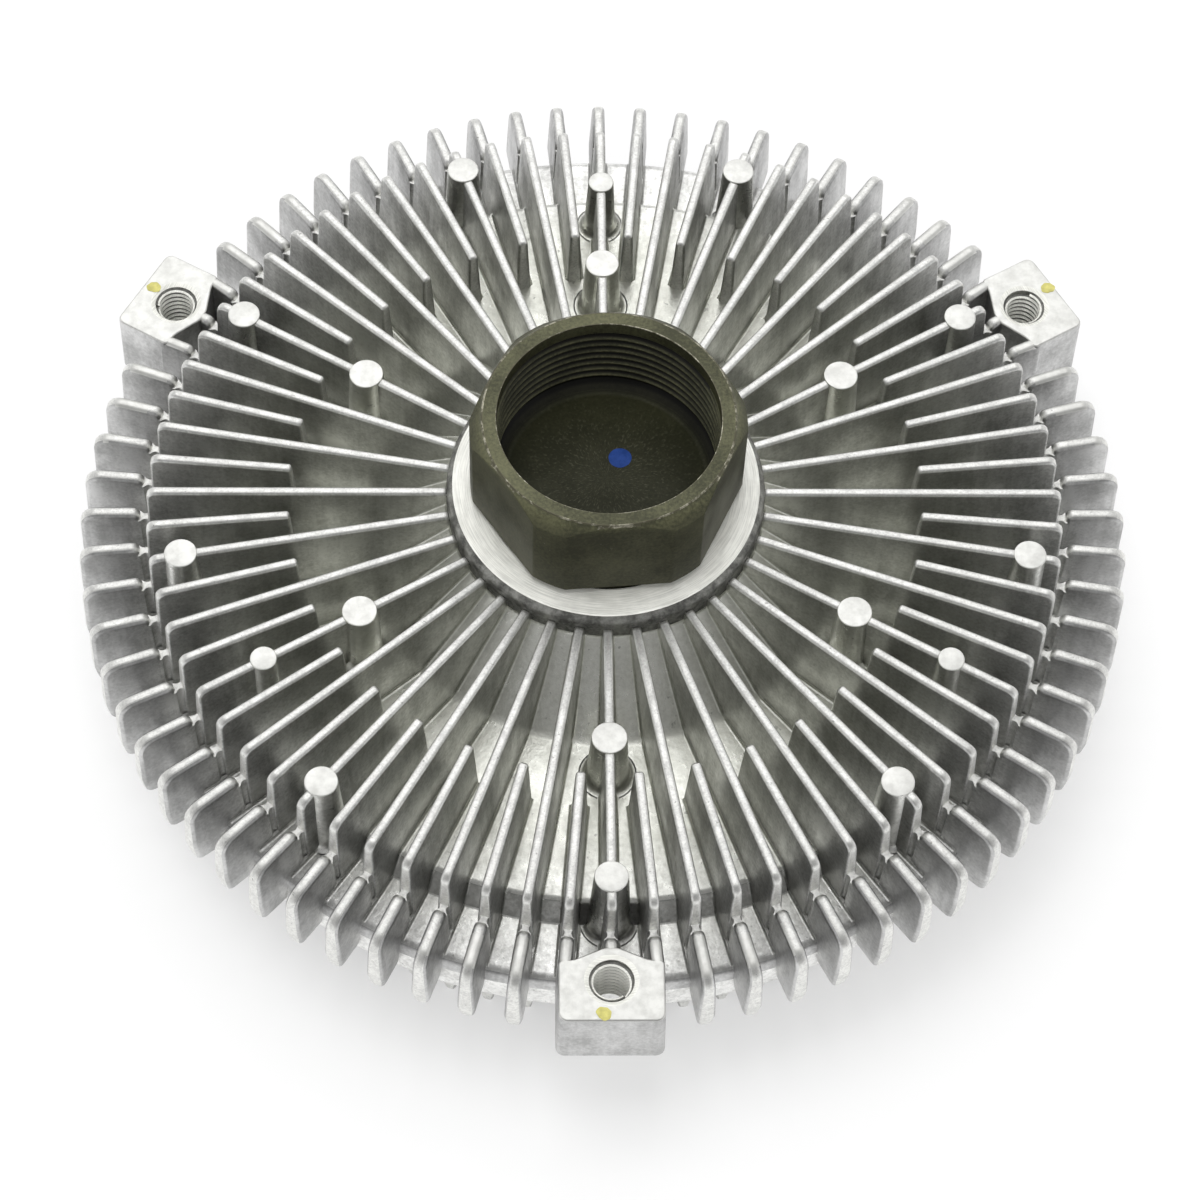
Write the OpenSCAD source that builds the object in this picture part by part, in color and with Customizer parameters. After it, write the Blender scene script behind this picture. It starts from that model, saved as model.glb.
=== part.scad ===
// Viscous fan clutch with a finned rear casting, three fan ears and a threaded hexagon hub.
// Millimetres. Origin on the axis in the plane of the ear faces, +Z towards the hub.

/* [Fan ears] */
// Diameter of the circle through the fan bolt holes
bolt_circle_d = 148; // [144:0.5:152]
// Number of ears
ear_count = 3; // [3:1:4]
// Thread of the fan bolts
bolt_d = 6; // [5:0.5:6.5]
// Pitch of that thread, which leaves the tapped hole at bolt_d less one pitch
bolt_pitch = 1; // [0.8:0.05:1.2]
// Countersink at the mouth of each tapped hole
bolt_sink_d = 7.4; // [6.8:0.1:8.4]
// Full angle of that countersink
bolt_sink_angle = 120; // [110:1:130]
// Width of an ear
ear_w = 14.4; // [13:0.2:16]
// From the hole's centre to the ear's outer face
ear_edge = 6.2; // [5.5:0.1:7]
// From the hole's centre to the peak of the ear's inner edge
ear_peak = 4.9; // [4.4:0.1:5.4]
// From the hole's centre to the shoulders beside that peak
ear_shoulder = 3; // [2.6:0.1:3.4]
// Depth of an ear
ear_depth = 11.3; // [9:0.1:13]
// Radius of the ear's outer corners
ear_corner = 1.2; // [0.5:0.1:2]

/* [Rear casting] */
// Diameter of the bearing boss
boss_d = 45.8; // [45:0.2:48]
// Height of the boss above the ear faces
boss_rise = 7.9; // [7.4:0.1:9]
// Bevel round the boss
boss_bevel = 0.9; // [0.4:0.1:1.4]
// Height at which the ramp leaves the boss
ramp_rise = 3.6; // [3:0.1:4.2]
// Diameter where the ramp meets the floor
floor_in_d = 70.4; // [67:0.2:74]
// Depth of the floor below the ear faces
floor_drop = 5.05; // [4.6:0.05:5.6]
// Width of the rounded shoulder between the floor and the ledge
shoulder_w = 2.8; // [2.4:0.1:3.4]
// Rounding at the top of that shoulder
shoulder_round = 1; // [0.6:0.1:1.4]
// Width of the ledge inside the rim
ledge_w = 8.8; // [8:0.1:9.6]
// Depth of the ledge below the ear faces
ledge_drop = 8.5; // [7.6:0.1:9]
// From the bolt circle in to the rim above its parting line
rim_inset = 3; // [2.6:0.1:3.4]
// Rounding of the rim's upper edge
rim_round = 1.5; // [1:0.1:1.8]
// Depth of the parting line below the ear faces
parting_drop = 10.8; // [10.2:0.1:11.4]
// Step out below the parting line
parting_step = 0.3; // [0.1:0.05:0.5]
// Wall of the casting
wall = 3.6; // [3.2:0.1:4]
// Wall of the rim around the cover
rim_wall = 3; // [2.6:0.1:3.4]
// How far the rolled lip reaches in under the cover
lip_reach = 2; // [1.4:0.1:2.4]
// Thickness of the rolled lip
lip_t = 1.5; // [1.2:0.1:1.8]

/* [Rear fins] */
// Number of long fins, with a short one between each pair
fin_count = 36; // [24:12:36]
// Height of the fins above the ear faces
fin_rise = 5.75; // [5.2:0.05:6.2]
// Thickness of a fin at its top
fin_t = 1.4; // [1.2:0.05:1.6]
// Thickness that a fin gains for each millimetre down to the parting line
fin_draft = 0.075; // [0.04:0.005:0.09]
// From the rim in to the end of the inner fins
fin_inset = 5; // [4.4:0.1:5.6]
// Rounding of an inner fin's outer corner
fin_corner = 1.4; // [0.8:0.1:2]
// Diameter at which the short fins start
short_fin_d = 91; // [86:0.5:98]
// Width of the notch between inner and outer fins
notch_w = 1.4; // [1:0.1:1.8]
// Depth of the notch below the ear faces
notch_drop = 1.3; // [1:0.1:1.8]
// How far the outer fins stand out past the rim
outer_fin_reach = 5.5; // [5:0.1:6]
// Rounding of an outer fin's upper corner
outer_fin_corner = 2.4; // [1.6:0.1:3]
// Rounding of an outer fin's lower corner
outer_fin_foot = 1; // [0.5:0.1:1.5]
// Depth of the outer fins below the ear faces
outer_fin_drop = 14; // [13:0.1:15]

/* [Ejector pads] */
// Height of the pads above the ear faces
pad_rise = 5.95; // [5.8:0.05:6.6]
// Taper of a pad, as radius gained for each millimetre down
pad_draft = 0.05; // [0.02:0.005:0.08]
// Diameter of the inner pads
inner_pad_d = 5; // [4:0.1:5.6]
// Circle of the inner pads
inner_pad_circle_d = 80.6; // [78:0.2:86]
// Diameter of the outer pads
outer_pad_d = 4.7; // [4:0.1:5.2]
// From the start of the ledge in to the middle of the outer pads
outer_pad_inset = 0.75; // [0.4:0.05:1.2]
// Diameter of the small pads
small_pad_d = 3.8; // [3.2:0.1:4.2]
// From the end of the floor in to the middle of the small pads
small_pad_inset = 3.85; // [3.2:0.05:4.6]

/* [Hub] */
// Width of the hexagon across its flats
hex_af = 36; // [35.6:0.1:37.4]
// Diameter to which the hexagon's corners are turned
hex_corner_d = 39; // [38.4:0.2:40]
// Turn of the hexagon about the axis
hex_turn = 4.5; // [0:0.5:30]
// Height of the hub's end face above the ear faces
hub_rise = 25; // [23:0.2:27]
// Diameter of the end face inside its bevel
hub_face_d = 35.5; // [34.6:0.1:36.4]
// Length of the bevel along the axis
hub_bevel = 2.1; // [1.6:0.1:2.4]
// Thread in the hub
hub_thread_d = 33; // [32:0.5:33]
// Pitch of that thread
hub_thread_pitch = 1.5; // [1.5:0.1:2]
// Depth of the socket from the end face
socket_depth = 15.8; // [14:0.1:16]
// Length of the thread relief at the socket's end
relief_l = 2.4; // [1.8:0.1:3]
// Diameter of the thread relief
relief_d = 33.4; // [33.2:0.1:33.8]
// Diameter of the socket's flat floor
socket_floor_d = 29; // [26:0.2:30]
// Diameter of the neck under the hexagon
neck_d = 34.2; // [33.8:0.1:34.8]
// Gap between the hexagon and the boss
hub_gap = 1.1; // [0.8:0.05:1.4]

/* [Bearing] */
// Bore of the inner race
bearing_bore_d = 17; // [16:0.2:18]
// Outside diameter of the outer race
bearing_d = 40; // [39:0.2:41]
// Width of the bearing
bearing_w = 12; // [11.5:0.1:13]
// Number of balls
ball_count = 8; // [6:1:8]
// Diameter of a ball
ball_d = 6.75; // [6.4:0.05:7]
// Wall of each race beside the balls, outside the groove
race_wall = 3.8; // [3.6:0.05:4]
// Thickness of a bearing seal
seal_t = 0.9; // [0.6:0.1:1.1]
// Thickness of the retaining ring
circlip_t = 1.2; // [1:0.1:1.4]
// Width of the retaining ring, measured along a radius
circlip_w = 2.6; // [2.2:0.1:3]
// Depth of the ring's groove
circlip_groove = 0.9; // [0.6:0.1:1.1]
// Gap in the ring
circlip_gap = 9; // [6:0.5:12]
// Housing left in front of the retaining ring
circlip_land = 1.5; // [1.2:0.1:1.8]

/* [Rotor] */
// Gap between the rotor and the chamber's wall
rotor_gap = 0.7; // [0.5:0.05:1]
// Thickness of the rotor's web
rotor_web = 3; // [2.6:0.1:3.4]
// Height of the ridges and lands
ridge_h = 3.6; // [3:0.1:4]
// Width of a ridge or land
ridge_w = 1.6; // [1.4:0.05:1.8]
// Shear gap between a ridge and a land
shear_gap = 0.5; // [0.4:0.05:0.6]
// Room between the innermost land and the ramp or the plate's seat
land_room = 2; // [1.5:0.1:2.5]
// Seat of the rotor on the shaft
rotor_bore_d = 15; // [14:0.2:15.8]
// Diameter of the rotor's boss
rotor_boss_d = 24; // [22.6:0.2:25]
// Number of holes through the web
web_hole_count = 6; // [3:1:8]
// Diameter of those holes
web_hole_d = 7; // [5:0.2:8]
// Circle of those holes
web_hole_circle_d = 50; // [46:0.5:56]
// Diameter of the shaft's peened end
peen_d = 17.6; // [16.6:0.1:18.6]
// Thickness of the peened end
peen_t = 1.3; // [1:0.1:1.5]

/* [Front cover] */
// Thickness of the cover's flange
flange_t = 3; // [2.7:0.1:3.4]
// Number of long fins, with a short one between each pair
cover_fin_count = 36; // [24:12:36]
// Height of the cover's fins
cover_fin_h = 9; // [8:0.1:11]
// Diameter at which the cover's long fins start
cover_fin_in_d = 53; // [51:0.5:58]
// Diameter at which its short fins start
cover_short_d = 86; // [80:0.5:94]
// Rounding of a cover fin's corners
cover_fin_corner = 2; // [1.2:0.1:2.6]
// Diameter of the flat nose round the valve shaft
nose_d = 46; // [44:0.5:47]
// Height of the nose beyond the cover's floor
nose_h = 4.4; // [4:0.1:5]
// Section of the cover's sealing ring
seal_d = 2.4; // [2.2:0.1:2.6]
// How far that ring is squeezed
seal_squeeze = 0.5; // [0.3:0.05:0.6]
// Diameter of the filling hole
fill_d = 4; // [3:0.1:5]
// Distance of the filling hole from the axis
fill_r = 17.5; // [16.5:0.1:18.5]

/* [Valve] */
// Diameter of the partition plate
plate_d = 67; // [66:0.2:68]
// Thickness of the partition plate
plate_t = 0.9; // [0.7:0.05:1.1]
// Room between the peened end and the partition plate
plate_gap = 1; // [0.8:0.05:1.3]
// Width of the ring that seats the plate
plate_seat = 2.6; // [2.2:0.1:3]
// Diameter of each port in the plate
port_d = 6; // [5:0.1:7]
// Distance of the ports from the axis
port_r = 23; // [21:0.2:24]
// Diameter of the valve shaft
shaft_d = 5; // [4.6:0.1:5.6]
// Thickness of the valve arm
arm_t = 0.8; // [0.6:0.05:1]
// Width of the valve arm
arm_w = 5; // [4:0.1:6]
// Gap between the valve arm and the plate
arm_gap = 0.2; // [0.15:0.01:0.3]
// Height of the guide boss inside the cover
guide_h = 3; // [2.6:0.1:3.2]
// Diameter of the guide boss
guide_d = 12; // [11:0.2:14]
// Section of the shaft's sealing ring
shaft_seal_d = 0.8; // [0.7:0.05:0.9]

/* [Bimetal] */
// Thickness of the bimetal strip
strip_t = 0.8; // [0.6:0.05:0.9]
// Width of the bimetal strip
strip_w = 3.6; // [3:0.1:4]
// Turns of the spiral
coil_turns = 4; // [3:0.5:4.5]
// Distance from turn to turn
coil_pitch = 1.9; // [1.7:0.05:2.1]
// Radius of the spiral where it leaves the shaft
coil_in_r = 4; // [3.8:0.1:4.4]
// Room between the spiral and its bracket
bracket_room = 3; // [2.6:0.1:3.4]
// Thickness of the bracket's sheet
bracket_t = 1; // [0.8:0.05:1.2]
// Width of the bracket
bracket_w = 11; // [10.5:0.1:12]
// Thread of the bracket's screws
screw_d = 3; // [2.5:0.1:3.2]
// Diameter of the screw heads
screw_head_d = 5; // [4.4:0.1:5.4]
// Height of the screw heads
screw_head_h = 1.6; // [1.2:0.1:1.8]
// Length of the screws under their heads
screw_l = 3.4; // [3:0.1:3.8]

/* [Clearances] */
// Gap left at a press seat
seat_gap = 0.01; // [0.005:0.005:0.02]
// Running gap at the races, seals and valve shaft
run_gap = 0.05; // [0.03:0.01:0.08]
// Gap round pieces that locate without running
locate_gap = 0.1; // [0.05:0.01:0.15]
// Gap between the neck and the boss
neck_gap = 0.4; // [0.3:0.05:0.5]

/* [Hidden] */
$fn = 96;
eps = 0.05;
arc_steps = 4;
metric_depth = 1.0825;

cast_colour = [0.78, 0.78, 0.76];
steel_colour = [0.62, 0.63, 0.65];
dark_steel_colour = [0.25, 0.25, 0.2];
rubber_colour = [0.08, 0.08, 0.08];
bimetal_colour = [0.68, 0.57, 0.4];

// Angles
ear_angle = -90;
fin_step = 360 / fin_count;
pad_angle = 30;
small_pad_angle = 90;
shoulder_angle = 30;
inner_pads = 6;
outer_pads = 9;
small_pads = 3;
bracket_angle = 45;
fill_angle = 200;

// Radii of the castings, worked in and out from the bolt circle
bolt_r = bolt_circle_d / 2;
tap_r = (bolt_d - bolt_pitch) / 2;
sink_r = bolt_sink_d / 2;
rim_r = bolt_r - rim_inset;
rim_in_r = rim_r - rim_wall;
lip_r = rim_in_r - lip_reach;
outer_fin_r = rim_r + outer_fin_reach;
fin_r = rim_r - fin_inset;
ledge_in_r = rim_r - ledge_w;
floor_out_r = ledge_in_r - shoulder_w;
floor_in_r = floor_in_d / 2;
boss_r = boss_d / 2;
inner_pad_r = inner_pad_circle_d / 2;
outer_pad_r = ledge_in_r - outer_pad_inset;
small_pad_r = floor_out_r - small_pad_inset;

// Heights down the axis, from the boss to the cover's fin tips
boss_lip_t = 5.2;
bearing_top = boss_rise - boss_lip_t;
bearing_bottom = bearing_top - bearing_w;
bearing_mid = (bearing_top + bearing_bottom) / 2;
circlip_bottom = bearing_bottom - circlip_t;
seat_bottom = circlip_bottom - circlip_land;
ceiling = -floor_drop - wall;
ridge_top = ceiling - shear_gap;
web_top = ridge_top - ridge_h;
web_bottom = web_top - rotor_web;
ridge_bottom = web_bottom - ridge_h;
cover_face = ridge_bottom - shear_gap;
cover_floor = cover_face - wall;
cover_tip = cover_floor - cover_fin_h;
seam = -ledge_drop - wall + 0.4;
flange_bottom = seam - flange_t;
rim_bottom = flange_bottom - lip_t;
peen_bottom = web_bottom - peen_t;
plate_top = peen_bottom - plate_gap;
plate_bottom = plate_top - plate_t;
nose_face = cover_floor - nose_h;
nose_inside = nose_face + wall - 0.2;
guide_top = nose_inside + guide_h;
arm_top = plate_bottom - arm_gap;
arm_bottom = arm_top - arm_t;
coil_top = nose_face - 0.4;
coil_bottom = coil_top - strip_w;

// Chamber and rotor, with as many lands and ridges as find room
chamber_r = ledge_in_r - 2.8;
rotor_r = chamber_r - rotor_gap;
plate_r = plate_d / 2;
stake_r = plate_r + 2;
lands_in_r = max(floor_in_r, stake_r) + land_room;
ridge_pitch = 2 * (ridge_w + shear_gap);
land_count = floor((rotor_r - 2 * ridge_w - shear_gap - lands_in_r) / ridge_pitch) + 1;
ridge_count = land_count + 1;
rotor_rim_r = rotor_r - land_count * ridge_pitch - ridge_w;
neck_r = neck_d / 2;
mouth_r = neck_r + neck_gap;
bearing_seat_r = bearing_d / 2 + seat_gap;
seat_wall = 3.2;

// Bearing
bearing_bore_r = bearing_bore_d / 2;
inner_land_r = bearing_bore_r + race_wall;
outer_land_r = bearing_d / 2 - race_wall;
ball_r = ball_d / 2;
ball_circle_r = (inner_land_r + outer_land_r) / 2;
ball_angle = 360 / ball_count;
groove_r = ball_r + run_gap;
seal_recess = 0.7;
seal_in_r = inner_land_r + run_gap;
seal_out_r = outer_land_r + seal_recess;

// Hub
hub_bottom = boss_rise + hub_gap;
thread_r = (hub_thread_d - metric_depth * hub_thread_pitch) / 2;
socket_floor = hub_rise - socket_depth;
relief_top = socket_floor + relief_l;
relief_r = relief_d / 2;
rotor_bore_r = rotor_bore_d / 2;

// Cover and valve
cover_r = rim_in_r - locate_gap / 2;
seal_r = (chamber_r + rim_in_r) / 2;
seal_h = seal_d - seal_squeeze;
reservoir_r = plate_r - plate_seat;
stake_t = 0.3;
shaft_r = shaft_d / 2;
guide_r = shaft_r + run_gap;
shaft_seal_z = (nose_inside + nose_face) / 2;
shaft_tip_r = shaft_r - 0.6;
coil_out_r = coil_in_r + coil_turns * coil_pitch;
bracket_r = coil_out_r + bracket_room;

// An arc from angle a to angle b round a centre, as points
function arc(centre, radius, a, b) = [
    for (i = [0 : arc_steps])
        let (t = a + (b - a) * i / arc_steps)
            centre + radius * [cos(t), sin(t)]
];

// Outline of the ramp moved towards the chamber by part of the wall
ramp_out = [floor_in_r, -floor_drop];
ramp_in = [boss_r, ramp_rise];
ramp_dir = (ramp_out - ramp_in) / norm(ramp_out - ramp_in);
function under_ramp(point, depth) = point + depth * [ramp_dir[1], -ramp_dir[0]];

// Comb of concentric lands, standing on one face and reaching to another
function comb(face, tip) = [
    for (i = [0 : land_count - 1])
        let (out_r = rotor_r - i * ridge_pitch - ridge_w - shear_gap)
            each [[out_r, face], [out_r, tip], [out_r - ridge_w, tip], [out_r - ridge_w, face]]
];

// Comb of the rotor's ridges, set between the lands
function ridges(face, tip) = [
    for (i = [0 : ridge_count - 1])
        let (out_r = rotor_r - i * ridge_pitch)
            each [[out_r, face], [out_r, tip], [out_r - ridge_w, tip], [out_r - ridge_w, face]]
];

function reversed(list) = [for (i = [len(list) - 1 : -1 : 0]) list[i]];

// A radial fin: its side outline in radius and height, its thickness from a drafted section
module blade(outline, section, reach) {
    intersection() {
        rotate([90, 0, 0])
            linear_extrude(height = 2 * wall, center = true)
                polygon(outline);
        rotate([90, 0, 90])
            linear_extrude(height = reach)
                polygon(section);
    }
}

// Section of a rear fin, thickest at the parting line
function rear_fin_half(z) = fin_t / 2 + fin_draft / 2 * (fin_rise - z);
rear_section = [
    [-rear_fin_half(fin_rise), fin_rise],
    [rear_fin_half(fin_rise), fin_rise],
    [rear_fin_half(-parting_drop), -parting_drop],
    [rear_fin_half(-notch_drop), -outer_fin_drop],
    [-rear_fin_half(-notch_drop), -outer_fin_drop],
    [-rear_fin_half(-parting_drop), -parting_drop]
];

// Lower edge of a rear fin, run inside the wall of the casting
flange_mid = (-ledge_drop + seam) / 2;
floor_mid = -floor_drop - wall / 2;
fin_root = [
    [rim_r - rim_wall / 2, -outer_fin_drop],
    [rim_r - rim_wall / 2, flange_mid],
    [ledge_in_r - 1, flange_mid],
    [floor_out_r, floor_mid]
];
long_root = [under_ramp(ramp_out, wall / 2), under_ramp(ramp_in, wall / 2), [boss_r - 1, fin_rise]];
short_root = [[short_fin_d / 2, floor_mid], [short_fin_d / 2, fin_rise]];

// Upper edge of a rear fin: inner fin, notch and outer fin
inner_top = concat(
    arc([fin_r - fin_corner, fin_rise - fin_corner], fin_corner, 90, 0),
    [[fin_r, -notch_drop], [fin_r + notch_w, -notch_drop], [fin_r + notch_w, 0]]
);
outer_top = concat(
    arc([outer_fin_r - outer_fin_corner, -outer_fin_corner], outer_fin_corner, 90, 0),
    arc([outer_fin_r - outer_fin_foot, outer_fin_foot - outer_fin_drop], outer_fin_foot, 0, -90)
);
ear_top = [[bolt_r, 0], [bolt_r, -ear_depth / 2], [rim_r - rim_wall / 2, -ear_depth / 2]];

function near_ear(turn) = min([
    for (k = [-1 : ear_count])
        abs(turn - ear_angle - k * 360 / ear_count)
]) < 0.75 * fin_step;

module rear_fins() {
    for (i = [0 : 2 * fin_count - 1]) {
        turn = ear_angle + i * fin_step / 2;
        at_ear = near_ear(turn);
        root = i % 2 == 0 ? long_root : short_root;
        outer = at_ear ? ear_top : outer_top;
        lower = at_ear ? [for (k = [1 : 3]) fin_root[k]] : fin_root;
        rotate([0, 0, turn])
            blade(concat(inner_top, outer, lower, root), rear_section, outer_fin_r + 1);
    }
}

module ear() {
    half = ear_w / 2;
    outer = bolt_r + ear_edge;
    shoulder = bolt_r - ear_shoulder;
    translate([0, 0, -ear_depth])
        linear_extrude(height = ear_depth)
            polygon(concat(
                [[bolt_r - ear_peak, 0.8], [bolt_r - ear_peak, -0.8], [shoulder, -half + 2]],
                [[shoulder, -half]],
                arc([outer - ear_corner, -half + ear_corner], ear_corner, -90, 0),
                arc([outer - ear_corner, half - ear_corner], ear_corner, 0, 90),
                [[shoulder, half], [shoulder, half - 2]]
            ));
}

module ears() {
    for (k = [0 : ear_count - 1])
        rotate([0, 0, ear_angle + k * 360 / ear_count])
            ear();
}

module ear_holes() {
    sink_slope = tan(bolt_sink_angle / 2);
    sink_depth = (sink_r - tap_r) / sink_slope;
    for (k = [0 : ear_count - 1])
        rotate([0, 0, ear_angle + k * 360 / ear_count])
            translate([bolt_r, 0, 0]) {
                translate([0, 0, -ear_depth - 1])
                    cylinder(h = ear_depth + 2, r = tap_r);
                translate([0, 0, -sink_depth])
                    cylinder(h = sink_depth + eps, r1 = tap_r, r2 = sink_r + eps * sink_slope);
            }
}

// Tapered pads standing on the floor or ledge along the fins
module pads(count, first_angle, circle_r, d, foot) {
    rise = pad_rise - foot;
    for (k = [0 : count - 1])
        rotate([0, 0, first_angle + k * 360 / count])
            translate([circle_r, 0, foot])
                cylinder(h = rise, r1 = d / 2 + pad_draft * rise, r2 = d / 2);
}

// Outside of the rear casting as one turned solid
module rear_form() {
    step_r = rim_r + parting_step;
    rim_edge = min(rim_round, parting_drop - parting_step - ledge_drop - 0.2);
    rotate_extrude()
        polygon(concat(
            [[0, boss_rise], [boss_r - boss_bevel, boss_rise], [boss_r, boss_rise - boss_bevel]],
            [ramp_in, ramp_out],
            arc([floor_out_r, -floor_drop - shoulder_round], shoulder_round, 90, shoulder_angle),
            [[ledge_in_r, -ledge_drop]],
            arc([rim_r - rim_edge, -ledge_drop - rim_edge], rim_edge, 90, 0),
            [[rim_r, parting_step - parting_drop], [step_r, -parting_step - parting_drop]],
            arc([step_r - lip_t, rim_bottom + lip_t], lip_t, 0, -90),
            [[0, rim_bottom]]
        ));
}

// Chamber, bearing seat and cover seat inside the rear casting
module rear_chamber() {
    corner = under_ramp(ramp_out, wall);
    slope = ramp_dir[1] / ramp_dir[0];
    cone_out = [corner[0] + (ceiling - corner[1]) / slope, ceiling];
    pocket_r = bearing_seat_r + seat_wall;
    cone_in = [pocket_r + 1.2, cone_out[1] + (pocket_r + 1.2 - cone_out[0]) * slope];
    groove_out_r = bearing_seat_r + circlip_groove;
    rotate_extrude()
        polygon(concat(
            [[0, boss_rise + 1], [mouth_r, boss_rise + 1], [mouth_r, bearing_top]],
            [[bearing_seat_r, bearing_top], [bearing_seat_r, bearing_bottom]],
            [[groove_out_r, bearing_bottom], [groove_out_r, circlip_bottom]],
            [[bearing_seat_r, circlip_bottom], [bearing_seat_r, seat_bottom]],
            [[pocket_r, seat_bottom], [pocket_r, cone_in[1] - 0.6], [pocket_r + 0.6, cone_in[1]]],
            [cone_in, cone_out],
            reversed(comb(ceiling, web_top + shear_gap)),
            [[chamber_r, ceiling], [chamber_r, seam], [rim_in_r, seam], [rim_in_r, flange_bottom]],
            [[lip_r, flange_bottom], [lip_r, rim_bottom - 1], [0, rim_bottom - 1]]
        ));
}

module rear_housing() {
    color(cast_colour)
        difference() {
            union() {
                rear_form();
                rear_fins();
                ears();
                pads(inner_pads, pad_angle, inner_pad_r, inner_pad_d, floor_mid);
                pads(outer_pads, pad_angle, outer_pad_r, outer_pad_d, flange_mid);
                pads(small_pads, small_pad_angle, small_pad_r, small_pad_d, floor_mid);
            }
            rear_chamber();
            ear_holes();
        }
}

// Section of a cover fin, thinning towards its tip
cover_half_tip = fin_t / 2;
cover_half_root = cover_half_tip + fin_draft / 2 * (flange_bottom - cover_tip);
cover_section = [
    [-cover_half_tip, cover_tip],
    [cover_half_tip, cover_tip],
    [cover_half_root, flange_bottom],
    [-cover_half_root, flange_bottom]
];
cover_wall_r = lip_r - 0.5;
cover_floor_r = chamber_r + 1.5;
cover_mid = (cover_floor + cover_face) / 2;
cover_root_run = 4;
root_sink = 1;
lip_clear = 0.4;

function cover_fin(start_r, root_z) = concat(
    arc([start_r + cover_fin_corner, cover_tip + cover_fin_corner], cover_fin_corner, 180, 270),
    arc([cover_wall_r - cover_fin_corner, cover_tip + cover_fin_corner], cover_fin_corner, 270, 360),
    [[cover_wall_r, rim_bottom - lip_clear], [cover_wall_r - root_sink, rim_bottom - lip_clear]],
    [[cover_floor_r - root_sink, cover_mid], [start_r + cover_root_run, cover_mid], [start_r, root_z]]
);

module cover_fins() {
    for (i = [0 : 2 * cover_fin_count - 1]) {
        long = i % 2 == 0;
        start_r = (long ? cover_fin_in_d : cover_short_d) / 2;
        root_z = long ? cover_floor - root_sink : cover_mid;
        rotate([0, 0, i * 180 / cover_fin_count])
            blade(cover_fin(start_r, root_z), cover_section, cover_wall_r + 1);
    }
}

// Outside of the cover as one turned solid
module cover_form() {
    rotate_extrude()
        polygon([
            [0, seam], [cover_r, seam], [cover_r, flange_bottom], [cover_wall_r, flange_bottom],
            [cover_wall_r - 0.6, flange_bottom - 1], [cover_floor_r, cover_floor],
            [nose_d / 2 + nose_h, cover_floor], [nose_d / 2, nose_face], [0, nose_face]
        ]);
}

// Chamber, reservoir and seal groove inside the cover
module cover_chamber() {
    cone_r = nose_d / 2 + nose_h - 1.6;
    rotate_extrude()
        polygon(concat(
            [[0, seam + 1], [chamber_r, seam + 1], [chamber_r, cover_face]],
            comb(cover_face, web_bottom - shear_gap),
            [[stake_r, cover_face], [stake_r, plate_top + stake_t]],
            [[plate_r + locate_gap, plate_top + stake_t], [plate_r + locate_gap, plate_bottom]],
            [[reservoir_r, plate_bottom], [reservoir_r, cover_face - 0.8], [cone_r, cover_face - 0.8]],
            [[nose_d / 2 - 1.6, nose_inside], [guide_d / 2, nose_inside]],
            [[guide_d / 2, guide_top], [0, guide_top]]
        ));
    rotate_extrude()
        translate([seal_r - seal_d / 2 - locate_gap, seam - seal_h])
            square([seal_d + 2 * locate_gap, seal_h + 1]);
}

module bracket_places() {
    for (side = [-1, 1])
        rotate([0, 0, bracket_angle])
            translate([bracket_r + bracket_t + 2.6, side * 2.8, 0])
                children();
}

module front_cover() {
    color(cast_colour)
        difference() {
            union() {
                cover_form();
                cover_fins();
            }
            cover_chamber();
            translate([0, 0, nose_face - 1])
                cylinder(h = guide_top - nose_face + 2, r = guide_r);
            rotate([0, 0, fill_angle])
                translate([fill_r, 0, nose_face - 1])
                    cylinder(h = nose_inside - nose_face + 2, d = fill_d);
            bracket_places()
                translate([0, 0, nose_face - 1])
                    cylinder(h = 1 + screw_l - bracket_t + 0.3, d = screw_d + 2 * seat_gap);
        }
}

// Rubber ring squeezed between the cover's flange and the rear casting
module cover_seal() {
    color(rubber_colour)
        rotate_extrude()
            translate([seal_r, seam - seal_h / 2])
                intersection() {
                    circle(d = seal_d);
                    square([2 * seal_d, seal_h], center = true);
                }
}

// Plug pressed into the filling hole, its outer edge bevelled
module fill_plug() {
    plug_r = fill_d / 2 - seat_gap;
    bevel = 0.3;
    color(steel_colour)
        rotate([0, 0, fill_angle])
            translate([fill_r, 0, 0])
                rotate_extrude()
                    polygon([
                        [0, nose_face + bevel], [plug_r - bevel, nose_face + bevel],
                        [plug_r, nose_face + 2 * bevel], [plug_r, nose_inside], [0, nose_inside]
                    ]);
}

// Hexagon with turned corners and a bevelled end
module hub_head() {
    intersection() {
        rotate([0, 0, hex_turn])
            translate([0, 0, hub_bottom])
                cylinder(h = hub_rise - hub_bottom, d = hex_af / cos(30), $fn = 6);
        rotate_extrude()
            polygon([
                [0, hub_bottom], [hex_corner_d / 2, hub_bottom],
                [hex_corner_d / 2, hub_rise - hub_bevel], [hub_face_d / 2, hub_rise], [0, hub_rise]
            ]);
    }
}

// Neck, bearing seat, rotor seat and peened end of the shaft
module hub_shaft() {
    peen_r = peen_d / 2;
    rotate_extrude()
        polygon([
            [0, hub_bottom + eps], [neck_r, hub_bottom + eps], [neck_r, bearing_top + 1.4],
            [inner_land_r - 0.4, bearing_top + 0.6], [inner_land_r - 0.4, bearing_top],
            [bearing_bore_r, bearing_top], [bearing_bore_r, bearing_bottom],
            [rotor_bore_r, bearing_bottom], [rotor_bore_r, web_bottom], [peen_r, web_bottom],
            [peen_r, web_bottom - peen_t / 2], [peen_r - peen_t / 2, peen_bottom], [0, peen_bottom]
        ]);
}

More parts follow.
